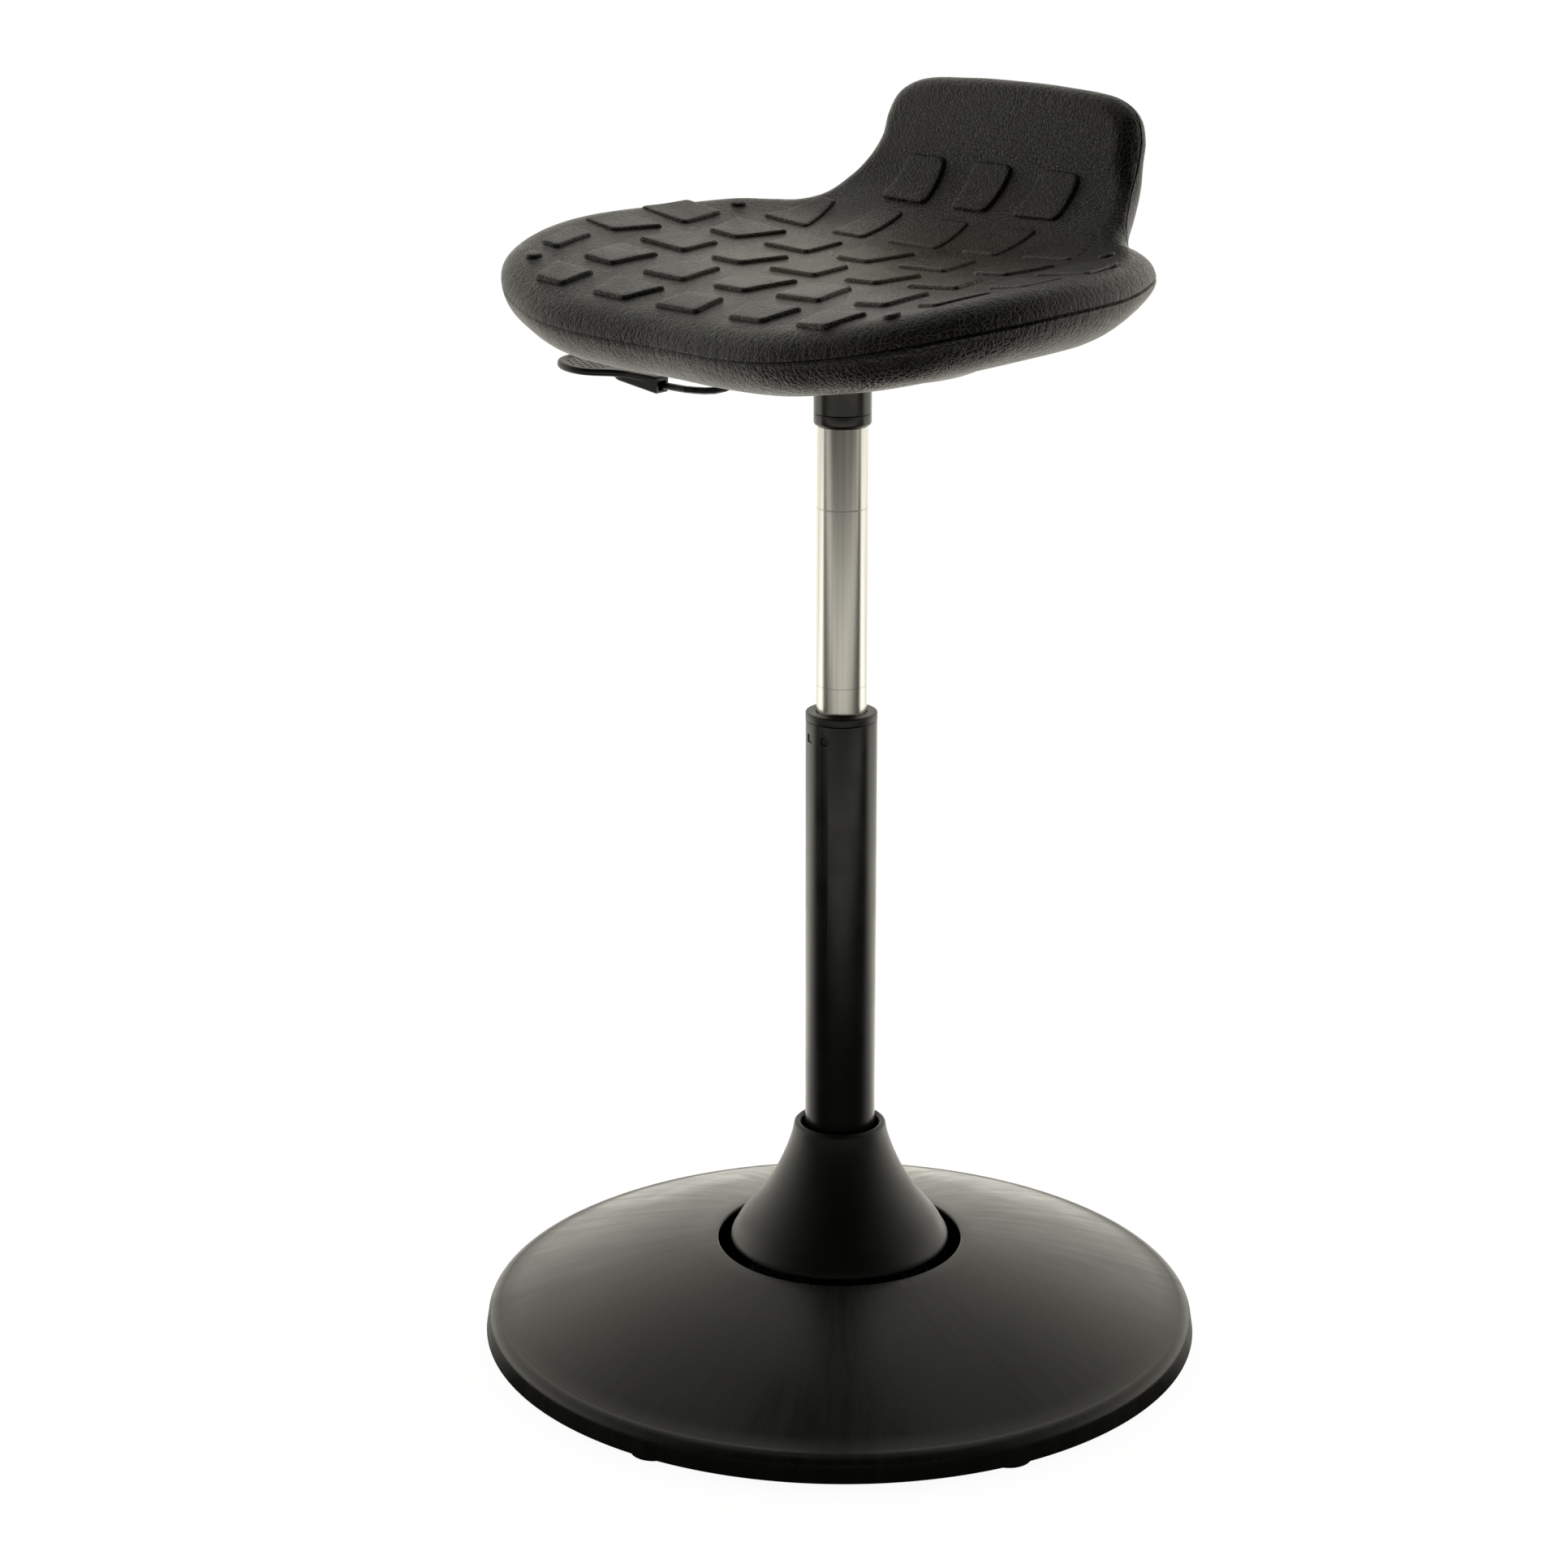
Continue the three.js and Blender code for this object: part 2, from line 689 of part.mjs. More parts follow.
const boardHoleDepth = plateBoltEmbed + restGap;
const plateBoltHeadTop = flangeBottom - restGap;
const plateBolt = slab(hexagon(boltHeadRadius), plateBoltHeadTop - boltHeadHeight, plateBoltHeadTop)
  .add(disc(boltShankRadius, plateBoltHeadTop - boltHeadHeight / 2, boardBottom + plateBoltEmbed, smallSides));
plateBoltPlaces.forEach(([x, y], i) => {
  piece(lift, `plate_bolt_${i + 1}`, plateBolt, plainSteel).position.set(x, y, 0);
});

// Board moulded into the foam
const boardTop = boardBottom + boardThickness;
const boardShape = roundedRectangle(boardHalfWidth, boardHalfLength, boardCorner);
const boardBoltHole = disc(
  boltShankRadius + restGap, boardBottom - overrun, boardBottom + boardHoleDepth, smallSides
);
piece(lift, "seat_board", cut(slab(boardShape, boardBottom, boardTop), [
  ...plateBoltPlaces.map(([x, y]) => moved(boardBoltHole, x, y)),
]), plywood);

// Pivot ears on the web of the channel, with the pin of the release yoke
const earBase = webTopFace + restGap;
const earTop = earBase + earHeight;
const pinTurned = solid(
  new THREE.CylinderGeometry(pivotPinRadius, pivotPinRadius, 2 * (earHalfSpan + earThickness), smallSides)
    .translate(-pivotReach, 0, rodHeight)
);
const pinHole = solid(
  new THREE.CylinderGeometry(
    pivotPinRadius + restGap, pivotPinRadius + restGap, 2 * (earHalfSpan + earThickness + overrun), smallSides
  ).translate(-pivotReach, 0, rodHeight)
);
const earLength = 4 * pivotPinRadius;
const ears = [-1, 1].map((side) => {
  const near = side * earHalfSpan;
  const far = side * (earHalfSpan - earThickness);
  return block(-pivotReach - earLength / 2, -pivotReach + earLength / 2,
    Math.min(near, far), Math.max(near, far), earBase, earTop);
});
const earBridge = block(-pivotReach - earLength / 2, -pivotReach + earLength / 2,
  -earHalfSpan, earHalfSpan, earBase, earBase + passGap);
piece(lift, "pivot_bracket", cut(joined([...ears, earBridge]), [pinHole]), plainSteel);
piece(lift, "pivot_pin", pinTurned, plainSteel);

// Upper side of the seat, developed flat: x across, s along the midline from the column axis
const seatMiddle = boardTop + foamOverBoard;
const panShares = [[-0.872, -0.103], [-0.455, 0.0085], [-0.039, -0.0235], [0.378, 0.033]];
const bendShares = [[0.378, 0.033], [0.6, 0.065], [0.812, 0.211], [0.838, 0.366]];
const lipTopShare = [0.892, 0.62];

function midlinePoint([alongShare, riseShare]) {
  return new THREE.Vector2(alongShare * seatReach, seatMiddle + riseShare * lipLength);
}

const panCurve = new THREE.CubicBezierCurve(...panShares.map(midlinePoint));
const bendCurve = new THREE.CubicBezierCurve(...bendShares.map(midlinePoint));
const lipCurve = new THREE.LineCurve(midlinePoint(bendShares[3]), midlinePoint(lipTopShare));
const frontCurve = new THREE.LineCurve(
  panCurve.getPoint(0).sub(panCurve.getTangent(0).multiplyScalar(2 * rimInset)), panCurve.getPoint(0)
);
const midline = new THREE.CurvePath();
for (const part of [frontCurve, panCurve, bendCurve, lipCurve]) midline.add(part);
const midlineLength = midline.getLength();
const panSteps = 200;
const panMarks = panCurve.getPoints(panSteps);
const axisIndex = panMarks.findIndex((point) => point.x >= 0);
const axisLength = frontCurve.getLength() + panCurve.getLengths(panSteps)[axisIndex];
const bendStart = frontCurve.getLength() + panCurve.getLength() - axisLength;
const bendLength = bendCurve.getLength();
const bendEnd = bendStart + bendLength;

function midlineAt(s) {
  const share = THREE.MathUtils.clamp((s + axisLength) / midlineLength, 0, 1);
  const point = midline.getPointAt(share);
  const tangent = midline.getTangentAt(share);
  const beyond = s + axisLength - share * midlineLength;
  point.add(tangent.clone().multiplyScalar(beyond));
  return { y: point.x, z: point.y, slope: Math.atan2(tangent.y, tangent.x) };
}

// How far a place belongs to the lip, from 0 on the pan to 1 on the lip
const shoulderShares = [0.58, 0.8];
const [shoulderInner, shoulderOuter] = shoulderShares.map((share) => share * seatHalfWidth);

function lipShareAt(x, s) {
  const along = ramp(s, bendStart, bendEnd);
  return along * (1 - ramp(Math.abs(x), shoulderInner, shoulderOuter));
}

// Bends the flat pattern into the seat; t is the height over the upper side
function seatPoint(x, s, t) {
  const middle = midlineAt(s);
  const panEnd = midlineAt(bendStart);
  const outward = ramp(Math.abs(x), shoulderInner, shoulderOuter);
  const past = Math.max(s - bendStart, 0);
  const flatY = s > bendStart ? panEnd.y + past * Math.cos(panEnd.slope) : middle.y;
  const flatZ = s > bendStart ? panEnd.z + past * Math.sin(panEnd.slope) : middle.z;
  const slope = blend(middle.slope, Math.min(middle.slope, panEnd.slope), outward);
  const across = x / seatHalfWidth;
  const riseFade = 1 - ramp(s, (bendStart + bendEnd) / 2, bendEnd + lipInset);
  const rise = (sideRise * across ** 2 + edgeCurl * across ** 4) * riseFade;
  const height = t + rise;
  return new THREE.Vector3(
    x,
    blend(middle.y, flatY, outward) - height * Math.sin(slope),
    blend(middle.z, flatZ, outward) + height * Math.cos(slope)
  );
}

// Outline of the flat pattern, right half from the front middle to the top of the lip
const outlineShares = [[0, -1.045], [0.252, -1.056], [0.462, -1.04], [0.672, -0.942], [0.79, -0.846],
  [0.884, -0.72], [0.972, -0.453], [1, -0.17], [0.974, 0.14], [0.915, 0.358], [0.834, 0.531],
  [0.74, 0.635], [0.66, 0.671], [0.606, 0.712], [0.55, 0.844], [0.507, 1.01], [0.498, 1.1],
  [0.458, 1.193], [0.378, 1.25], [0.19, 1.284], [0, 1.289]];

// Points of the whole outline, each with its outward direction
function patternOutline() {
  const right = outlineShares.map(([x, s]) => new THREE.Vector3(x * seatHalfWidth, s * seatReach, 0));
  const left = right.slice(1, -1).reverse().map((point) => new THREE.Vector3(-point.x, point.y, 0));
  const all = [...right, ...left];
  const curve = new THREE.CatmullRomCurve3(all, true, "centripetal");
  return all.map((place, i) => {
    const tangent = curve.getTangent(i / all.length);
    return { x: place.x, s: place.y, outX: tangent.y, outS: -tangent.x };
  });
}

const outline = patternOutline();

// Where the edge stands: front rim, side rim, the notch beside the lip and the lip itself
const sidewardShares = [-1.064, -0.326];
const notchShares = [0.485, 0.76];
const rearThinShare = 0.5;
function edgeSizes(x, s) {
  const share = lipShareAt(x, s);
  const sideward = ramp(s, sidewardShares[0] * seatReach, sidewardShares[1] * seatReach);
  const notch = ramp(s, bendStart + notchShares[0] * bendLength, bendStart + notchShares[1] * bendLength)
    * (1 - ramp(s, bendEnd - lipHalfThickness, bendEnd + lipInset));
  const rimAt = blend(frontDrop, rimDrop, sideward);
  const drop = blend(rimAt, lipHalfThickness, share) - notchLess * notch;
  const rimDepth = seatDepth - rearLess * ramp(s, 0, rearThinShare * seatReach);
  const depth = blend(rimDepth, 2 * lipHalfThickness, share);
  return {
    drop,
    inset: blend(rimInset, lipInset, share) - notchInset * notch,
    under: depth - drop,
    underInset: blend(underInset, lipInset, share),
  };
}

// Rings of the seat body, from the middle of its top over the rim to the middle of its underside
const topShares = [0.3, 0.46, 0.57, 0.66, 0.75, 0.88];
const rimAngles = [90, 52, 18];

function rimPoint(edge, degrees, upper) {
  const angle = THREE.MathUtils.degToRad(degrees);
  const sizes = edgeSizes(edge.x, edge.s);
  const inset = (upper ? sizes.inset : sizes.underInset) * (1 - Math.cos(angle));
  const t = upper ? sizes.drop * (Math.sin(angle) - 1) : -sizes.drop - sizes.under * Math.sin(angle);
  return { x: edge.x - edge.outX * inset, s: edge.s - edge.outS * inset, t };
}

const bossLevel = seatMiddle - bossDepth;
const bellyShare = 0.4;

function underPoint(edge, share) {
  const start = rimPoint(edge, 90, false);
  const reach = Math.hypot(start.x, start.s);
  const radius = blend(bossRadius, reach, share);
  const place = seatPoint((start.x / reach) * radius, (start.s / reach) * radius, start.t);
  place.z = blend(bossLevel, place.z, ramp(share, -bellyShare, 1));
  return place;
}

const topRings = topShares.map((share) => outline.map((edge) => {
  const crest = rimPoint(edge, 90, true);
  return seatPoint(crest.x * share, crest.s * share, 0);
}));
const upperRim = rimAngles.map((degrees) => outline.map((edge) => {
  const place = rimPoint(edge, degrees, true);
  return seatPoint(place.x, place.s, place.t);
}));
const lowerRim = [...rimAngles].reverse().map((degrees) => outline.map((edge) => {
  const place = rimPoint(edge, degrees, false);
  return seatPoint(place.x, place.s, place.t);
}));
const underShares = [0.66, 0.33, 0];
const underRings = underShares.map((share) => outline.map((edge) => underPoint(edge, share)));
const bossRing = outline.map((edge) => {
  const start = rimPoint(edge, 90, false);
  const reach = Math.hypot(start.x, start.s);
  return new THREE.Vector3((start.x / reach) * bossRadius, (start.s / reach) * bossRadius, bossLevel);
});
underRings[underRings.length - 1] = bossRing;

// Skins a stack of rings and closes it with a point at each end
function ringBody(rings, firstPoint, lastPoint) {
  const count = rings[0].length;
  const points = [firstPoint, ...rings.flat(), lastPoint];
  const last = points.length - 1;
  const corners = [];
  for (let i = 0; i < count; i += 1) {
    const next = (i + 1) % count;
    corners.push(0, 1 + i, 1 + next);
    for (let r = 0; r < rings.length - 1; r += 1) {
      const near = 1 + r * count;
      const far = near + count;
      corners.push(near + i, far + i, far + next, near + i, far + next, near + next);
    }
    const edge = 1 + (rings.length - 1) * count;
    corners.push(last, edge + next, edge + i);
  }
  const geometry = new THREE.BufferGeometry().setFromPoints(points);
  geometry.setIndex(corners);
  return solid(geometry);
}

const seatBody = ringBody(
  [...topRings, ...upperRim, ...lowerRim, ...underRings],
  seatPoint(0, 0, 0),
  new THREE.Vector3(0, 0, bossLevel)
);

// Raised pads: rows from the rear, each pad by its inner and outer edges at the row's front and back
const padRows = [
  { front: 0.369, back: 0.636, pads: [[0.101, 0.055], [0.203, 0.334, 0.214, 0.326],
    [0.437, 0.626, 0.498, 0.559]] },
  { front: 0.041, back: 0.262, pads: [[0.065, 0.103], [0.183, 0.373, 0.195, 0.345],
    [0.482, 0.607, 0.431, 0.652], [0.71, 0.908, 0.722, 0.875]] },
  { front: -0.279, back: -0.07, pads: [[0.097, 0.08], [0.211, 0.34, 0.164, 0.372],
    [0.453, 0.653, 0.469, 0.604], [0.761, 0.897, 0.714, 0.903]] },
  { front: -0.605, back: -0.384, pads: [[0.067, 0.117], [0.185, 0.366, 0.205, 0.331],
    [0.494, 0.622, 0.471, 0.632], [0.735, 0.807, 0.768, 0.86]] },
  { front: -0.878, back: -0.712, pads: [[0.088, 0.073], [0.214, 0.352, 0.171, 0.386],
    [0.479, 0.6, 0.477, 0.64]] },
  { front: 0.71, back: 0.945, pads: [[0.071, 0.078], [0.175, 0.357, 0.194, 0.344]] },
];

// Flat corners of one pad, mirrored for the left side
function padCorners(row, pad, side) {
  const [innerFront, outerFront, innerBack, outerBack] = pad.length === 2
    ? [-pad[0], pad[0], -pad[1], pad[1]]
    : pad;
  const front = row.front * seatReach;
  const back = row.back * seatReach;
  return [[innerFront, front], [outerFront, front], [outerBack, back], [innerBack, back]]
    .map(([share, s]) => [side * share * seatHalfWidth, s]);
}

function padBody(corners) {
  const middleX = corners.reduce((sum, [x]) => sum + x, 0) / corners.length;
  const middleS = corners.reduce((sum, [, s]) => sum + s, 0) / corners.length;
  const drawn = corners.map(([x, s]) => {
    return [x - padDraft * Math.sign(x - middleX), s - padDraft * Math.sign(s - middleS)];
  });
  const foot = corners.map(([x, s]) => seatPoint(x, s, -padSink));
  const head = drawn.map(([x, s]) => seatPoint(x, s, padHeight));
  const middle = (t) => seatPoint(middleX, middleS, t);
  return ringBody([foot, head], middle(-padSink), middle(padHeight));
}

const pads = padRows.flatMap((row) => row.pads.flatMap((pad) => {
  const sides = pad.length === 2 ? [1] : [1, -1];
  return sides.map((side) => padBody(padCorners(row, pad, side)));
}));

const studShares = [[0.735, -0.725], [0.748, 0.39]];
const studs = studShares.flatMap(([x, s]) => [1, -1].map((side) => {
  const corners = Array.from({ length: 8 }, (_, i) => around(studRadius, i * 45));
  const middleX = side * x * seatHalfWidth;
  const middleS = s * seatReach;
  const at = (t) => corners.map(([dx, ds]) => seatPoint(middleX + dx, middleS + ds, t));
  const middle = (t) => seatPoint(middleX, middleS, t);
  return ringBody([at(-padSink), at(studHeight)], middle(-padSink), middle(studHeight));
}));

const pocketShape = roundedRectangle(pocketHalfWidth, pocketHalfLength, pocketCorner);
const boardSlot = slab(
  roundedRectangle(boardHalfWidth + restGap, boardHalfLength + restGap, boardCorner + restGap),
  boardBottom - restGap, boardTop + restGap
);
const pocket = slab(pocketShape, bossLevel - overrun, boardBottom);
piece(lift, "seat_foam", cut(joined([seatBody, ...pads, ...studs]), [pocket, boardSlot]), foamSkin);

// Release lever: yoke over the valve, bent rod and moulded handle
const handleTop = seatMiddle - handleDrop;
const yokeBottom = valveTop + restGap;
const yokeTopFace = yokeBottom + yokeThickness;
const yokeBlank = block(
  -pivotReach - yokeTail, yokeTip, -yokeHalfWidth, yokeHalfWidth, yokeBottom, yokeTopFace
);
const hubBlock = solid(
  new THREE.CylinderGeometry(yokeHubRadius, yokeHubRadius, 2 * yokeHalfWidth, smallSides)
    .translate(-pivotReach, 0, rodHeight)
);
const handleRodHeight = handleTop - paddleThickness - keelDepth / 4;

// A place on the middle line of the handle, by its distance from the handle's inner end
function alongHandle(reach) {
  const [across, along] = around(reach, handleTurn);
  return [along - keelEnd, -across - handleOffset];
}

const rodShares = [[0.12, 0, 0], [0.25, 0.1, 0.2], [0.37, 0.34, 0.66], [0.55, 0.7, 0.94], [0.82, 0.95, 1]];
const rodPath = new THREE.CatmullRomCurve3([
  [-pivotReach, 0, rodHeight],
  ...rodShares.map(([along, aside, down]) => [
    blend(-pivotReach, -keelEnd, along), -aside * handleOffset, blend(rodHeight, handleRodHeight, down),
  ]),
  ...[-rodStep, rodStep, rodInHandle].map((reach) => [...alongHandle(reach), handleRodHeight]),
].map(([x, y, z]) => new THREE.Vector3(x, y, z)), false, "centripetal");
const rodSection = new THREE.Shape();
rodSection.absarc(0, 0, rodWireRadius, 0, 2 * Math.PI);
const rod = solid(new THREE.ExtrudeGeometry(rodSection, {
  steps: 22, curveSegments: 4, bevelEnabled: false, extrudePath: rodPath,
}));
piece(lever, "release_rod", cut(joined([yokeBlank, hubBlock, rod]), [pinHole]), plainSteel);

// Moulded handle: a dished paddle with a hollow keel under its inner half, drawn outward from the rod
const paddleCentre = handleReach - paddleHalfWidth;
const paddleWaistShare = 0.7;
const keelNose = keelEnd + keelLength;

function paddleShape() {
  const shape = new THREE.Shape();
  const near = paddleCentre - paddleWaistShare * paddleHalfWidth;
  shape.moveTo(keelEnd, -keelHalfWidth);
  shape.lineTo(keelEnd + keelLength / 2, -handleNeck);
  shape.bezierCurveTo(near, -handleNeck, near, -paddleHalfWidth, paddleCentre, -paddleHalfWidth);
  shape.absarc(paddleCentre, 0, paddleHalfWidth, -Math.PI / 2, Math.PI / 2);
  shape.bezierCurveTo(near, paddleHalfWidth, near, handleNeck, keelEnd + keelLength / 2, handleNeck);
  shape.lineTo(keelEnd, keelHalfWidth);
  shape.closePath();
  return shape;
}

function keelShape() {
  const shape = new THREE.Shape();
  shape.moveTo(keelEnd, -keelHalfWidth);
  shape.lineTo(keelNose - handleNeck, -handleNeck);
  shape.absarc(keelNose - handleNeck, 0, handleNeck, -Math.PI / 2, Math.PI / 2);
  shape.lineTo(keelEnd, keelHalfWidth);
  shape.closePath();
  return shape;
}

const paddleBottom = handleTop - paddleThickness;
const paddle = slab(paddleShape(), paddleBottom, handleTop, 8);
const dishShape = new THREE.Shape();
dishShape.absellipse(
  paddleCentre - dishBorder, 0,
  paddleHalfWidth - dishBorder / 2, paddleHalfWidth - dishBorder, 0, 2 * Math.PI
);
const dish = slab(dishShape, handleTop - dishDepth, handleTop + overrun, 16);
const keel = slab(keelShape(), paddleBottom - keelDepth, paddleBottom + paddleThickness / 2, 8);
const hollow = block(
  keelEnd - overrun, keelEnd + keelHollow,
  keelWall - keelHalfWidth, keelHalfWidth - keelWall,
  paddleBottom - keelDepth + keelWall, paddleBottom + paddleThickness - keelWall
);
const rodBoreInHandle = solid(
  new THREE.CylinderGeometry(
    rodWireRadius + restGap, rodWireRadius + restGap, rodInHandle + restGap + overrun, smallSides
  ).rotateZ(Math.PI / 2).translate(keelEnd + (rodInHandle + restGap - overrun) / 2, 0, handleRodHeight)
);
const handle = cut(joined([paddle, keel]), [dish, hollow, rodBoreInHandle])
  .translate([-keelEnd, 0, 0])
  .rotate([0, 0, 180 + handleTurn])
  .translate([-keelEnd, -handleOffset, 0]);
piece(lever, "release_handle", handle, blackPlastic);

const valve = disc(valveRadius, valveBottom, valveTop, smallSides * 2);
piece(lever, "valve_pin", valve, polishedSteel);

export default stool;
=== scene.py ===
import json
import math

import bmesh
import bpy
import numpy as np
from mathutils import Matrix, Vector


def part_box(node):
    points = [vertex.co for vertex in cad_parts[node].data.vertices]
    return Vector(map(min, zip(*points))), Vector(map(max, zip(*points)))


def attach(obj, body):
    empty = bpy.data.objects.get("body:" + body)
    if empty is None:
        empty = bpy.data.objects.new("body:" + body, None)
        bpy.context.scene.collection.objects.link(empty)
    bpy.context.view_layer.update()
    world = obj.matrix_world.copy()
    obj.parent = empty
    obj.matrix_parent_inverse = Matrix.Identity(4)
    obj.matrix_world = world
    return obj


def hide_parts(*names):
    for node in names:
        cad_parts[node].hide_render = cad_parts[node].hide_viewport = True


# Perch stool: a moulded foam saddle on a gas column that leans in a rubber joint in a round base.
# Lengths in the dictionaries are millimetres, angles are degrees.
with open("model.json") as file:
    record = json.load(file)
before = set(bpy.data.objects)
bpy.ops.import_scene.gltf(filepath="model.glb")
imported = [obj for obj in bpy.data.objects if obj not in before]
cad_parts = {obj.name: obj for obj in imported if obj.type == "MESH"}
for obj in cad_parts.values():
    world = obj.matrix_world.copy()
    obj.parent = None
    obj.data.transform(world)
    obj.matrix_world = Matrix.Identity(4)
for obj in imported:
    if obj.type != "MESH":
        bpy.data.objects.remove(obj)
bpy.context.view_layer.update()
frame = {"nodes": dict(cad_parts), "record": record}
mm = 0.001
slotOf = {part["node"]: part["material_slot"] for part in frame["record"]["subparts"]}
bodyOf = {node: body for body, nodes in frame["record"]["behaviour"]["bodies"].items()
          for node in nodes}


def linear(hexColour):
    parts = [int(hexColour[i:i + 2], 16) / 255 for i in (1, 3, 5)]
    return [*(part / 12.92 if part <= 0.04045 else ((part + 0.055) / 1.055) ** 2.4
              for part in parts), 1]


def ramp(value, start, end):
    # Runs smoothly from 0 at the start to 1 at the end
    share = np.clip((np.asarray(value, float) - start) / (end - start), 0, 1)
    return share * share * (3 - 2 * share)


def mixed(a, b, share):
    return a + (b - a) * share


# Camera, where the rims of the base, the hub and the column put it
camera = {
    "place": (1728.6, -1646.1, 1129.1),
    "turn": (73.287, 0.048, 47.349),
    "lens": 81.56,
    "sensor": 36,
}
cameraData = bpy.data.cameras.new("camera")
cameraData.lens = camera["lens"]
cameraData.sensor_width = camera["sensor"]
cameraObject = bpy.data.objects.new("camera", cameraData)
cameraObject.location = Vector(camera["place"]) * mm
cameraObject.rotation_euler = [math.radians(angle) for angle in camera["turn"]]
bpy.context.scene.collection.objects.link(cameraObject)
bpy.context.scene.camera = cameraObject
bpy.context.scene.view_settings.view_transform = "Standard"
print("camera placed")


# Node tools. A socket goes by name or number. A link comes from a socket, or from the first output
# in use of a node.
def usedSocket(sockets, key=None):
    if isinstance(key, int):
        return sockets[key]
    return next(socket for socket in sockets if socket.enabled and key in (None, socket.name))


def setNode(tree, node, values=None, links=None):
    for key, value in (values or {}).items():
        usedSocket(node.inputs, key).default_value = value
    for key, source in (links or {}).items():
        output = usedSocket(source.outputs) if isinstance(source, bpy.types.Node) else source
        tree.links.new(output, usedSocket(node.inputs, key))


def addNode(tree, kind, values=None, links=None, **settings):
    node = tree.nodes.new("ShaderNode" + kind)
    for name, value in settings.items():
        setattr(node, name, value)
    setNode(tree, node, values, links)
    return node


def newMaterial(name, look):
    material = bpy.data.materials.new(name)
    material.use_nodes = True
    tree = material.node_tree
    shader = tree.nodes["Principled BSDF"]
    setNode(tree, shader, {"Base Color": linear(look["colour"]), "Roughness": look["roughness"],
                           **look.get("sockets", {})})
    return material, tree, shader, addNode(tree, "TexCoord").outputs["Object"]


def cellSize(cell, detail=2):
    return {"Scale": 1 / (cell * mm), "Detail": detail}


def shades(look):
    return {"A": linear(look["dark"]), "B": linear(look["light"])}


def bumpSize(look):
    return {"Distance": look["depth"] * mm, "Strength": look["strength"]}


noiseSpan = {"From Min": 0.3, "From Max": 0.7}  # where nearly all of a noise lies

# Integral skin foam, moulded in a leather-grained tool: black with fine creases, lines drawn down
# the rim where the skin was stretched, painted shade in the groove of the parting line and at the
# feet of the pads, and a middle worn slightly brown that is also a painted sheen.
# The grain is drawn at about three times its real size, so that it shows.
foamLook = {
    "colour": "#151410", "roughness": 0.42, "sockets": {"Specular IOR Level": 0.4},
    "dark": "#100f0c", "light": "#1d1b16", "wornSheen": "#5a4c36", "seamShade": "#060605",
    "warp": 6, "warpReach": 2.4, "crease": 3.4, "creaseSpan": {"From Max": 0.12}, "pore": 1.9,
    "wrinkle": 3.6, "drawnOut": (1, 1, 0.22), "wrinkleSpan": {"From Min": 0.35, "From Max": 0.62},
    "creaseShare": 0.4, "poreShare": 0.45, "wrinkleShare": 0.55, "depth": 0.8, "strength": 0.8,
    "patch": 42, "gloss": {"To Min": 0.3, "To Max": 0.42}, "padDullness": 0.12, "padWearSheen": 0.2,
    "middle": {"From Min": 0.2, "From Max": 1.1, "To Min": 1, "To Max": 0},
    "leastWearSheen": {"To Min": 0.3},
    "wearSheenReach": (0.17, 0.13, 1), "wearSheenHeight": {"From Min": 0.745, "From Max": 0.765},  # metres
}


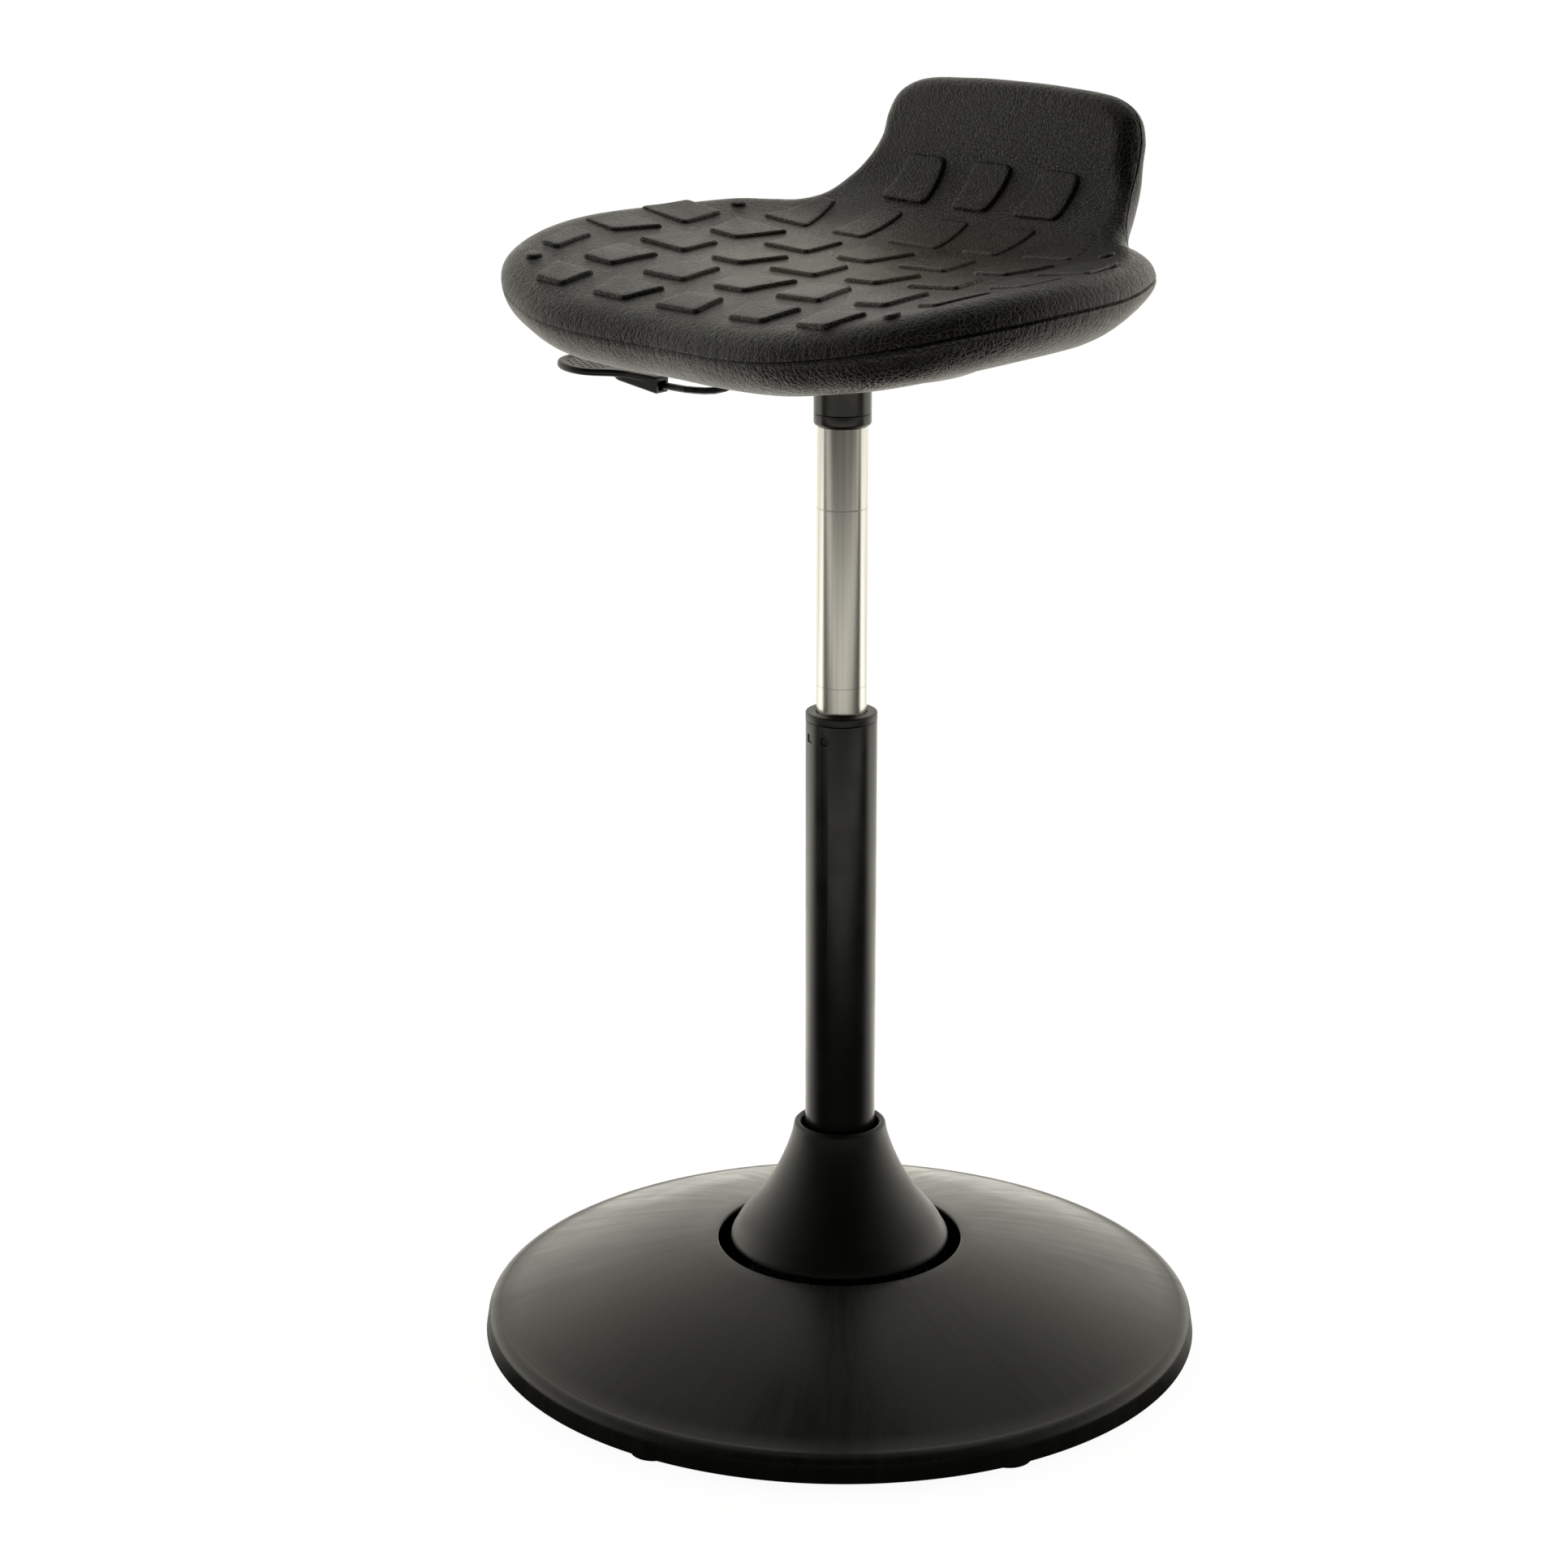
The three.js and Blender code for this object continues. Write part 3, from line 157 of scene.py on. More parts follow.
def makeFoamSkin(look):
    material, tree, shader, place = newMaterial("integralFoamSkin", look)
    rim, seamShade, padTop = (addNode(tree, "Attribute", attribute_name=name).outputs["Fac"]
                         for name in ("rimShare", "grooveShade", "padShare"))
    # Places are shifted a little, so that no crease runs straight
    warp = addNode(tree, "TexNoise", cellSize(look["warp"]), {"Vector": place}).outputs["Color"]
    shift = addNode(tree, "VectorMath", {1: (look["warpReach"] * mm,) * 3}, {0: warp},
                    operation="MULTIPLY")
    bent = addNode(tree, "VectorMath", links={0: place, 1: shift}, operation="ADD")
    cells = addNode(tree, "TexVoronoi", {"Scale": 1 / (look["crease"] * mm)}, {"Vector": bent},
                    feature="DISTANCE_TO_EDGE")
    creases = addNode(tree, "MapRange", look["creaseSpan"], {"Value": cells})
    pores = addNode(tree, "TexNoise", cellSize(look["pore"], 3), {"Vector": place})
    long = addNode(tree, "Mapping", {"Scale": look["drawnOut"]}, {"Vector": bent})
    wrinkles = addNode(tree, "TexNoise", cellSize(look["wrinkle"], 3), {"Vector": long})
    wrinkles = addNode(tree, "MapRange", look["wrinkleSpan"], {"Value": wrinkles})
    wrinkles = addNode(tree, "Math", links={0: wrinkles, 1: rim}, operation="MULTIPLY")
    relief = addNode(tree, "Math", {1: look["creaseShare"]}, {0: creases}, operation="MULTIPLY")
    for source, share in ((pores, look["poreShare"]), (wrinkles, look["wrinkleShare"])):
        relief = addNode(tree, "Math", {1: share}, {0: source, 2: relief},
                         operation="MULTIPLY_ADD")
    bump = addNode(tree, "Bump", bumpSize(look), {"Height": relief})
    patches = addNode(tree, "TexNoise", cellSize(look["patch"], 5), {"Vector": place})
    share = addNode(tree, "MapRange", noiseSpan, {"Value": patches})
    tint = addNode(tree, "Mix", shades(look), {"Factor": share}, data_type="RGBA")
    # Wear and painted sheen in the middle of the saddle and on the pads, and only on the upper side
    scaled = addNode(tree, "VectorMath", {1: look["wearSheenReach"]}, {0: place}, operation="DIVIDE")
    flat = addNode(tree, "VectorMath", {1: (1, 1, 0)}, {0: scaled}, operation="MULTIPLY")
    reach = addNode(tree, "VectorMath", links={0: flat}, operation="LENGTH")
    height = addNode(tree, "SeparateXYZ", links={"Vector": place}).outputs["Z"]
    wearSheen = addNode(tree, "MapRange", look["middle"], {"Value": reach})
    uneven = addNode(tree, "MapRange", {**noiseSpan, **look["leastWearSheen"]}, {"Value": patches})
    above = addNode(tree, "MapRange", look["wearSheenHeight"], {"Value": height})
    for limit in (uneven, above):
        wearSheen = addNode(tree, "Math", links={0: wearSheen, 1: limit}, operation="MULTIPLY")
    # The pad tops take more of the wear and painted sheen
    wearSheen = addNode(tree, "Math", {1: look["padWearSheen"]}, {0: padTop, 2: wearSheen},
                   operation="MULTIPLY_ADD")
    # Painted shade darkens the groove of the parting line and the feet of the pads
    for colour, factor in ((look["wornSheen"], wearSheen), (look["seamShade"], seamShade)):
        tint = addNode(tree, "Mix", {"B": linear(colour)}, {"Factor": factor, "A": tint},
                       data_type="RGBA")
    gloss = addNode(tree, "MapRange", {**noiseSpan, **look["gloss"]}, {"Value": patches})
    gloss = addNode(tree, "Math", {1: look["padDullness"]}, {0: padTop, 2: gloss},
                    operation="MULTIPLY_ADD")
    setNode(tree, shader, links={"Base Color": tint, "Roughness": gloss, "Normal": bump})
    return material


# Fine-textured powder coat on the pressed dome: matt charcoal with a sandy grain, and faint streaks
# that run out from the middle where it was wiped
powderLook = {
    "colour": "#1a1a14", "roughness": 0.42, "dark": "#191913", "light": "#27261e",
    "streak": 12, "aroundScale": 0.25, "outwardScale": 0.16, "patch": 55, "grit": 1.6,
    "streakGloss": {"To Min": 0.25, "To Max": 0.34},
    "patchGloss": {"To Min": -0.03, "To Max": 0.04},
    "gritShare": 0.7, "streakShare": 0.3, "depth": 0.22, "strength": 0.5,
}


def makePowderCoat(look):
    material, tree, shader, place = newMaterial("texturedPowderCoat", look)
    # Places are squeezed outwards from the middle, so that the noise runs out in rays
    flat = addNode(tree, "VectorMath", {1: (1, 1, 0)}, {0: place}, operation="MULTIPLY")
    ray = addNode(tree, "VectorMath", links={0: flat}, operation="NORMALIZE")
    around = addNode(tree, "VectorMath", {1: (look["aroundScale"],) * 3}, {0: ray},
                     operation="MULTIPLY")
    outward = addNode(tree, "VectorMath", {1: (look["outwardScale"],) * 3}, {0: flat},
                      operation="MULTIPLY")
    spread = addNode(tree, "VectorMath", links={0: around, 1: outward}, operation="ADD")
    streaks = addNode(tree, "TexNoise", cellSize(look["streak"], 5), {"Vector": spread})
    patches = addNode(tree, "TexNoise", cellSize(look["patch"], 3), {"Vector": place})
    grit = addNode(tree, "TexNoise", cellSize(look["grit"], 3), {"Vector": place})
    share = addNode(tree, "MapRange", noiseSpan, {"Value": streaks})
    tint = addNode(tree, "Mix", shades(look), {"Factor": share}, data_type="RGBA")
    gloss = [addNode(tree, "MapRange", {**noiseSpan, **look[key]}, {"Value": source})
             for key, source in (("streakGloss", streaks), ("patchGloss", patches))]
    gloss = addNode(tree, "Math", links=dict(enumerate(gloss)), operation="ADD")
    relief = addNode(tree, "Math", {1: look["gritShare"]}, {0: grit}, operation="MULTIPLY")
    relief = addNode(tree, "Math", {1: look["streakShare"]}, {0: streaks, 2: relief},
                     operation="MULTIPLY_ADD")
    bump = addNode(tree, "Bump", bumpSize(look), {"Height": relief})
    setNode(tree, shader, links={"Base Color": tint, "Roughness": gloss, "Normal": bump})
    return material


# Ground and polished steel of the gas cylinder: bright and softly striped along its length, the
# stripes being grinding marks and painted reflection stripes, with reflections drawn out lengthwise
# by the grinding, and two faint rings where the bush has rested
steelLook = {
    "colour": "#d3d2cd", "roughness": 0.24, "dark": "#b6b4ae", "light": "#e9e8e4",
    "sockets": {"Metallic": 1, "Anisotropic": 0.7, "Anisotropic Rotation": 0.25},
    "band": 6, "bandStretch": (1, 1, 0.01), "bandSpan": {"From Min": 0.35, "From Max": 0.65},
    "rubAndReflection": 2.6, "rubAndReflectionStretch": (1, 1, 0.02), "bandShare": 0.75, "rubAndReflectionShare": 0.25,
    "marks": (611, 485.5), "markHalf": 0.5, "markShares": (-0.5, -0.4),
    "gloss": {"To Min": 0.21, "To Max": 0.26}, "markDullness": 0.1,
}


def makePolishedSteel(look):
    material, tree, shader, place = newMaterial("groundSteel", look)
    long = addNode(tree, "Mapping", {"Scale": look["bandStretch"]}, {"Vector": place})
    bands = addNode(tree, "TexNoise", cellSize(look["band"], 1), {"Vector": long})
    long = addNode(tree, "Mapping", {"Scale": look["rubAndReflectionStretch"]}, {"Vector": place})
    rubsAndReflections = addNode(tree, "TexNoise", cellSize(look["rubAndReflection"]), {"Vector": long})
    height = addNode(tree, "SeparateXYZ", links={"Vector": place}).outputs["Z"]
    rings = [addNode(tree, "Math", {1: mark * mm, 2: look["markHalf"] * mm}, {0: height},
                     operation="COMPARE") for mark in look["marks"]]
    # Painted reflection stripes together with grinding marks: lengthwise bands and rubs set the
    # tone
    bandTone = addNode(tree, "MapRange", look["bandSpan"], {"Value": bands})
    rubAndReflectionTone = addNode(tree, "MapRange", noiseSpan, {"Value": rubsAndReflections})
    share = addNode(tree, "Math", {1: look["bandShare"]}, {0: bandTone}, operation="MULTIPLY")
    for source, weight in ((rubAndReflectionTone, look["rubAndReflectionShare"]), *zip(rings, look["markShares"])):
        share = addNode(tree, "Math", {1: weight}, {0: source, 2: share},
                        operation="MULTIPLY_ADD")
    tint = addNode(tree, "Mix", shades(look), {"Factor": share}, data_type="RGBA")
    gloss = addNode(tree, "MapRange", {**noiseSpan, **look["gloss"]}, {"Value": bands})
    gloss = addNode(tree, "Math", {1: look["markDullness"]}, {0: rings[0], 2: gloss},
                    operation="MULTIPLY_ADD")
    setNode(tree, shader, links={"Base Color": tint, "Roughness": gloss})
    return material


# Beech plywood: warm, with long grain on the face and dark glue lines on the edge
plywoodLook = {
    "colour": "#b08a5a", "roughness": 0.62, "dark": "#8f6a41", "light": "#c29a68",
    "grain": 6, "grainStretch": (0.12, 1, 1), "grainShare": 0.7, "veneer": 9.5,
    "veneerShare": 0.3, "unevenness": 0.4, "depth": 0.1, "strength": 0.3,
}


def makePlywood(look):
    material, tree, shader, place = newMaterial("beechPlywood", look)
    long = addNode(tree, "Mapping", {"Scale": look["grainStretch"]}, {"Vector": place})
    grain = addNode(tree, "TexNoise", cellSize(look["grain"], 5), {"Vector": long})
    veneers = addNode(tree, "TexWave", {"Scale": 1 / (look["veneer"] * mm),
                                        "Distortion": look["unevenness"]}, {"Vector": place},
                      bands_direction="Z").outputs["Fac"]
    share = addNode(tree, "MapRange", noiseSpan, {"Value": grain})
    share = addNode(tree, "Math", {1: look["grainShare"]}, {0: share}, operation="MULTIPLY")
    share = addNode(tree, "Math", {1: look["veneerShare"]}, {0: veneers, 2: share},
                    operation="MULTIPLY_ADD")
    tint = addNode(tree, "Mix", shades(look), {"Factor": share}, data_type="RGBA")
    bump = addNode(tree, "Bump", bumpSize(look), {"Height": grain})
    setNode(tree, shader, links={"Base Color": tint, "Normal": bump})
    return material


def makeMottled(name, look):
    # Colour or gloss that varies in soft patches, and a fine relief, each where the look has it
    material, tree, shader, place = newMaterial(name, look)
    mottle = addNode(tree, "TexNoise", cellSize(look["mottle"], look["mottleDetail"]),
                     {"Vector": place})
    if "dark" in look:
        share = addNode(tree, "MapRange", noiseSpan, {"Value": mottle})
        tint = addNode(tree, "Mix", shades(look), {"Factor": share}, data_type="RGBA")
        setNode(tree, shader, links={"Base Color": tint})
    if "gloss" in look:
        gloss = addNode(tree, "MapRange", {**noiseSpan, **look["gloss"]}, {"Value": mottle})
        setNode(tree, shader, links={"Roughness": gloss})
    if "grain" in look:
        grain = addNode(tree, "TexNoise", cellSize(look["grain"], look["grainDetail"]),
                        {"Vector": place})
        bump = addNode(tree, "Bump", bumpSize(look), {"Height": grain})
        setNode(tree, shader, links={"Normal": bump})
    return material


# Smooth black enamel on drawn tube and on the socket: glossy, with a faint orange peel
enamelLook = {
    "colour": "#12120b", "roughness": 0.26,
    "mottle": 30, "mottleDetail": 2, "gloss": {"To Min": 0.23, "To Max": 0.31},
    "grain": 4, "grainDetail": 1, "depth": 0.05, "strength": 0.25,
}

# Zinc-plated pressed steel: grey and satin, mottled by the bath
zincLook = {
    "colour": "#8f9092", "roughness": 0.38, "sockets": {"Metallic": 1},
    "dark": "#7d7e80", "light": "#9c9d9e",
    "mottle": 5, "mottleDetail": 3, "gloss": {"To Min": 0.3, "To Max": 0.46},
    "grain": 0.8, "grainDetail": 2, "depth": 0.03, "strength": 0.3,
}

# Steel wire of the release lever: dark blue-grey with an oily gloss, a painted shade that reads as
# the seat's shadow line where the rod shows under the seat
shadeDarkLook = {
    "colour": "#1e1f20", "roughness": 0.4, "sockets": {"Metallic": 0.8},
    "dark": "#17181a", "light": "#27282a",
    "mottle": 4, "mottleDetail": 3, "gloss": {"To Min": 0.34, "To Max": 0.5},
}

# Sand-cast iron weight: rough and dark, with a thin coat of primer
ironLook = {
    "colour": "#34342f", "roughness": 0.78, "sockets": {"Metallic": 0.3},
    "dark": "#2c2c28", "light": "#403f3a", "mottle": 25, "mottleDetail": 3,
    "grain": 1.8, "grainDetail": 4, "depth": 0.5, "strength": 0.6,
}

# Moulded rubber: black, dull and slightly dusty
rubberLook = {
    "colour": "#1b1b1a", "roughness": 0.82,
    "dark": "#171716", "light": "#252523", "mottle": 14, "mottleDetail": 4,
    "grain": 1.1, "grainDetail": 3, "depth": 0.08, "strength": 0.4,
}

# Moulded polyamide with an eroded finish: satin black, finer and smoother than the powder coat
polyamideLook = {
    "colour": "#11110e", "roughness": 0.42,
    "mottle": 35, "mottleDetail": 3, "gloss": {"To Min": 0.37, "To Max": 0.47},
    "grain": 0.9, "grainDetail": 2, "depth": 0.05, "strength": 0.35,
}

finishes = {
    "foam_skin": makeFoamSkin(foamLook),
    "textured_paint": makePowderCoat(powderLook),
    "gloss_paint": makeMottled("blackEnamel", enamelLook),
    "polished_steel": makePolishedSteel(steelLook),
    "plain_steel": makeMottled("zincPlate", zincLook),
    "cast_iron": makeMottled("castIron", ironLook),
    "rubber": makeMottled("mouldedRubber", rubberLook),
    "black_plastic": makeMottled("mouldedPolyamide", polyamideLook),
    "plywood": makePlywood(plywoodLook),
}
# Painted shade: the release rod is kept dark, so that under the seat it reads as the seat's shadow
# line
shadeDarkSteel = makeMottled("shadeDarkSteel", shadeDarkLook)
for node, shell in frame["nodes"].items():
    for materialSlot in shell.material_slots:
        materialSlot.material = shadeDarkSteel if node == "release_rod" else finishes[slotOf[node]]
print("materials made:", len(finishes) + 1)


# Shape tools
def rounded(points, closed, steps=6):
    # Corners given as (radius, height, round) become arcs
    line = []
    for i, (x, z, *rest) in enumerate(points):
        corner = np.array([x, z], float)
        if not rest or (not closed and i in (0, len(points) - 1)):
            line.append(corner)
            continue
        before, after = (np.array(points[(i + k) % len(points)][:2], float) - corner
                         for k in (-1, 1))
        spans = np.linalg.norm(before), np.linalg.norm(after)
        a, b = before / spans[0], after / spans[1]
        half = math.acos(np.clip(a @ b, -1, 1)) / 2
        reach = min(rest[0] / math.tan(half), 0.49 * min(spans))  # two arcs never meet on one side
        centre = corner + (a + b) / np.linalg.norm(a + b) * reach / math.cos(half)
        start, end = corner + a * reach - centre, corner + b * reach - centre
        sweep = math.pi - 2 * half
        for share in np.linspace(0, 1, steps):
            arm = math.sin((1 - share) * sweep) * start + math.sin(share * sweep) * end
            line.append(centre + arm / math.sin(sweep))
    return line


def spun(points, closed=True, steps=128):
    shape = bmesh.new()
    corners = [shape.verts.new((x * mm, 0, z * mm)) for x, z in rounded(points, closed)]
    edges = [shape.edges.new(pair) for pair in zip(corners, corners[1:])]
    if closed:
        edges.append(shape.edges.new((corners[-1], corners[0])))
    bmesh.ops.spin(shape, geom=corners + edges, cent=(0, 0, 0), axis=(0, 0, 1), angle=2 * math.pi,
                   steps=steps, use_merge=True)
    bmesh.ops.remove_doubles(shape, verts=shape.verts, dist=0.001 * mm)
    bmesh.ops.recalc_face_normals(shape, faces=shape.faces)
    return shape


def splineParts(points):
    # A spline through all points but the first and last, paced by the root of each chord
    pieces = []
    share = np.linspace(0, 1, 24, endpoint=False)[:, None]
    for before, start, end, after in zip(points, points[1:], points[2:], points[3:]):
        a, b, c = (math.sqrt(np.linalg.norm(d)) for d in (start - before, end - start, after - end))
        leave = ((start - before) / a - (end - before) / (a + b) + (end - start) / b) * b
        arrive = ((end - start) / b - (after - start) / (b + c) + (after - end) / c) * b
        pieces.append(start * (2 * share ** 3 - 3 * share ** 2 + 1)
                      + leave * (share ** 3 - 2 * share ** 2 + share)
                      + end * (3 * share ** 2 - 2 * share ** 3)
                      + arrive * (share ** 3 - share ** 2))
    return np.vstack([*pieces, points[-2:-1]])


def walked(line, count, endpoint=True):
    # Even steps along a line
    run = np.concatenate([[0], np.cumsum(np.linalg.norm(np.diff(line, axis=0), axis=1))])
    stops = np.linspace(0, run[-1], count, endpoint=endpoint)
    return np.column_stack([np.interp(stops, run, line[:, k]) for k in range(line.shape[1])])


def curveThrough(points, count):
    points = np.array(points, float)
    ends = np.vstack([2 * points[0] - points[1], points, 2 * points[-1] - points[-2]])
    return walked(splineParts(ends), count)


def bezier(points, count):
    share = np.linspace(0, 1, count)[:, None]
    a, b, c, d = points
    return (a * (1 - share) ** 3 + 3 * b * share * (1 - share) ** 2
            + 3 * c * share ** 2 * (1 - share) + d * share ** 3)


def arc(centre, radius, start, end, count):
    return [(centre + radius * math.cos(turn), radius * math.sin(turn))
            for turn in np.radians(np.linspace(start, end, count))]


def combinedShape(shape, tool, operation):
    # One solid cut by another, or joined to it
    blanks = []
    for part in (shape, tool):
        mesh = bpy.data.meshes.new("blank")
        part.to_mesh(mesh)
        part.free()
        blanks.append(bpy.data.objects.new("blank", mesh))
        bpy.context.scene.collection.objects.link(blanks[-1])
    modifier = blanks[0].modifiers.new("cut", "BOOLEAN")
    modifier.operation, modifier.solver, modifier.object = operation, "EXACT", blanks[1]
    result = bmesh.new()
    result.from_object(blanks[0], bpy.context.evaluated_depsgraph_get())
    for blank in blanks:
        bpy.data.meshes.remove(blank.data)
    return result


def finishPiece(name, shape, node, sharp=35):
    # Edges steeper than the sharp angle stay sharp
    mesh = bpy.data.meshes.new(name)
    shape.to_mesh(mesh)
    shape.free()
    mesh.materials.clear()
    mesh.materials.append(finishes[slotOf[node]])
    mesh.shade_smooth()
    mesh.set_sharp_from_angle(angle=math.radians(sharp))
    piece = bpy.data.objects.new(name, mesh)
    bpy.context.scene.collection.objects.link(piece)
    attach(piece, bodyOf[node])
    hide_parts(node)
    return piece


# Dome of the base: near upright rim, rounded shoulder and an almost straight rise to the hole
dome = {
    "foot": 258.2, "lift": 3, "waist": 256.4, "waistHeight": 14, "shoulder": 8,
    "shoulderSweep": (12, 84, 7), "top": 246.7, "rim": 22, "hole": 88, "height": 70, "crown": 5,
    "wall": 3.5, "edge": 1.4, "riseSteps": 14, "steps": 192,
}


def domeLine(inset):
    shoulder = [(dome["foot"] - inset, dome["lift"]), (dome["waist"] - inset, dome["waistHeight"])]
    across, up = dome["waist"] - dome["top"] - inset, dome["shoulder"] - inset
    for turn in np.radians(np.linspace(*dome["shoulderSweep"])):
        shoulder.append((dome["top"] + across * math.cos(turn),
                         dome["rim"] - dome["shoulder"] + up * math.sin(turn)))
    rise = []
    for share in np.linspace(0, 1, dome["riseSteps"]):
        bulge = dome["crown"] * math.sin(math.pi * share)
        rise.append((mixed(dome["top"], dome["hole"], share),
                     mixed(dome["rim"], dome["height"], share) + bulge - inset))
    return shoulder + rise


upper, lower = domeLine(0), domeLine(dome["wall"])
for end in (0, -1):
    upper[end] += (dome["edge"],)
finishPiece("base_dome", spun(upper + lower[::-1], steps=dome["steps"]), "base_shell")

# Rubber glides under the rim
glide = {"edge": 1, "foot": 2.7, "footEdge": 0.5, "collar": 11, "collarHeight": 5.7, "stem": 4,
         "stemEdge": 0.6, "steps": 40}
for node in sorted(name for name in frame["nodes"] if name.startswith("glide_")):
    low, high = (Vector(corner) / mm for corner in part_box(node))
    middle, radius = (low + high) / 2, (high.x - low.x) / 2
    pad = spun([(0, 0), (radius, 0, glide["edge"]), (radius, glide["foot"], glide["footEdge"]),
                (glide["collar"], glide["foot"]), (glide["collar"], glide["collarHeight"]),
                (glide["stem"], glide["collarHeight"]), (glide["stem"], high.z, glide["stemEdge"]),
                (0, high.z)], closed=False, steps=glide["steps"])
    bmesh.ops.translate(pad, verts=pad.verts, vec=Vector((middle.x, middle.y, 0)) * mm)
    finishPiece(node.replace("glide", "glide_pad"), pad, node)
print("base made")

# Hub cover: a trumpet with a rounded lip round the tube
hub = {
    "wall": 3, "skirt": 79, "bottom": 70, "throat": 33, "bore": 27.8, "sleeve": 25.3,
    "web": (86, 98), "webEdge": (2, 3), "lip": 157.4, "lipRound": 2.6,
    "lipTurns": (30, 60, 90, 120, 150, 180), "steps": 44,
    "flare": [(79, 70), (78.6, 73), (76.6, 76.5), (72, 84.5), (65.3, 93), (57.8, 102.5),
              (51.2, 112), (45.5, 122), (40.9, 132), (37.2, 141.5), (34.4, 150.5), (33, 157.4)],
}
outer = [tuple(place) for place in curveThrough(hub["flare"], hub["steps"])]
inner = [(x - hub["wall"], z - hub["wall"]) for x, z in outer[::3]
         if z - hub["wall"] < hub["web"][0] - hub["webEdge"][0]]
lipMiddle, lipHalf = (hub["throat"] + hub["bore"]) / 2, (hub["throat"] - hub["bore"]) / 2
lip = [(lipMiddle + lipHalf * math.cos(turn), hub["lip"] + hub["lipRound"] * math.sin(turn))
       for turn in np.radians(hub["lipTurns"])]
hubLine = [(hub["skirt"] - hub["wall"], hub["bottom"]), *outer, *lip,
           (hub["bore"], hub["web"][1] + hub["webEdge"][1]), (hub["sleeve"], hub["web"][1]),
           (hub["sleeve"], hub["web"][0]), (inner[-1][0], hub["web"][0]), *inner[:0:-1]]
finishPiece("hub_trumpet", spun(hubLine), "hub_cover")

# Outer tube with two pairs of snap windows, and the bush whose tabs stand in them
tube = {"radius": 25, "bore": 23, "bottom": 24, "top": 460, "edge": 0.4, "sharp": 25}
window = {"size": 6, "height": 449, "squareTurn": -16.6, "roundTurn": 18.2, "cutReach": 27,
          "cutDepth": 6, "roundSteps": 32}
bush = {"bore": 17.95, "radius": 22.7, "bottom": 376, "collar": 25.1, "collarBottom": 460.3,
        "top": 466, "edges": (0.5, 0.3, 1.1, 0.5), "tabReach": 24.2, "tabGap": 0.9, "tabRoot": 2,
        "sharp": 25}


def windowPlugs(size, reach, depth):
    # Square and round plugs that stand through the tube's wall at the four windows
    plugs = bmesh.new()
    for key in ("squareTurn", "roundTurn"):
        for half in (0, 180):
            place = Matrix.Rotation(math.radians(window[key] + half), 4, "Z") @ Matrix.Translation(
                Vector((0, depth / 2 - reach, window["height"])) * mm)
            if key == "squareTurn":
                bmesh.ops.create_cube(plugs, size=1, matrix=place @ Matrix.Diagonal(
                    (size * mm, depth * mm, size * mm, 1)))
            else:
                bmesh.ops.create_cone(plugs, cap_ends=True, segments=window["roundSteps"],
                                      radius1=size / 2 * mm, radius2=size / 2 * mm,
                                      depth=depth * mm,
                                      matrix=place @ Matrix.Rotation(math.pi / 2, 4, "X"))
    return plugs


wall = spun([(tube["bore"], tube["bottom"]), (tube["radius"], tube["bottom"], tube["edge"]),
             (tube["radius"], tube["top"], tube["edge"]), (tube["bore"], tube["top"])])
cuts = windowPlugs(window["size"], window["cutReach"], window["cutDepth"])
finishPiece("column_tube", combinedShape(wall, cuts, "DIFFERENCE"), "outer_tube", tube["sharp"])
sleeve = spun([(bush["bore"], bush["bottom"]), (bush["radius"], bush["bottom"], bush["edges"][0]),
               (bush["radius"], bush["collarBottom"]),
               (bush["collar"], bush["collarBottom"], bush["edges"][1]),
               (bush["collar"], bush["top"], bush["edges"][2]),
               (bush["bore"], bush["top"], bush["edges"][3])])
tabs = windowPlugs(window["size"] - bush["tabGap"], bush["tabReach"],
                   bush["tabReach"] - bush["bore"] - bush["tabRoot"])
finishPiece("bush_collar", combinedShape(sleeve, tabs, "UNION"), "guide_bush", bush["sharp"])

# Gas cylinder and the socket that its taper sits in
cylinder = {"radius": 17.6, "bore": 15.4, "bottom": 376, "top": 667.7, "chamberTop": 624,
            "edges": (0.4, 0.3), "taper": (14.6, 13.4), "taperTop": 733.8,
            "valveBore": 4.3, "valveFloor": 721.8}
finishPiece("cylinder_tube", spun([
    (cylinder["bore"], cylinder["bottom"]),
    (cylinder["radius"], cylinder["bottom"], cylinder["edges"][0]),
    (cylinder["radius"], cylinder["top"], cylinder["edges"][1]),
    (cylinder["taper"][0], cylinder["top"]),
    (cylinder["taper"][1], cylinder["taperTop"], cylinder["edges"][1]),
    (cylinder["valveBore"], cylinder["taperTop"]), (cylinder["valveBore"], cylinder["valveFloor"]),
    (0, cylinder["valveFloor"]), (0, cylinder["chamberTop"]),
    (cylinder["bore"], cylinder["chamberTop"]),
]), "gas_cylinder")
socket = {"radius": 19.85, "bore": (14.9, 13.7), "bottom": 668, "bottomEdge": 4.4,
          "groove": 0.35, "grooveHeight": 676.6, "grooveEdge": 0.2,
          "flange": 29, "flangeBottom": 728, "flangeEdges": (1.5, 0.6), "top": 732}
finishPiece("cone_socket", spun([
    (socket["bore"][0], socket["bottom"]),
    (socket["radius"], socket["bottom"], socket["bottomEdge"]),
    (socket["radius"], socket["grooveHeight"] - socket["groove"], socket["grooveEdge"]),
    (socket["radius"] - socket["groove"], socket["grooveHeight"]),
    (socket["radius"], socket["grooveHeight"] + socket["groove"], socket["grooveEdge"]),
    (socket["radius"], socket["flangeBottom"], socket["flangeEdges"][0]),
    (socket["flange"], socket["flangeBottom"], socket["flangeEdges"][1]),
    (socket["flange"], socket["top"]), (socket["bore"][1], socket["top"]),
]), "taper_socket")
print("column made")

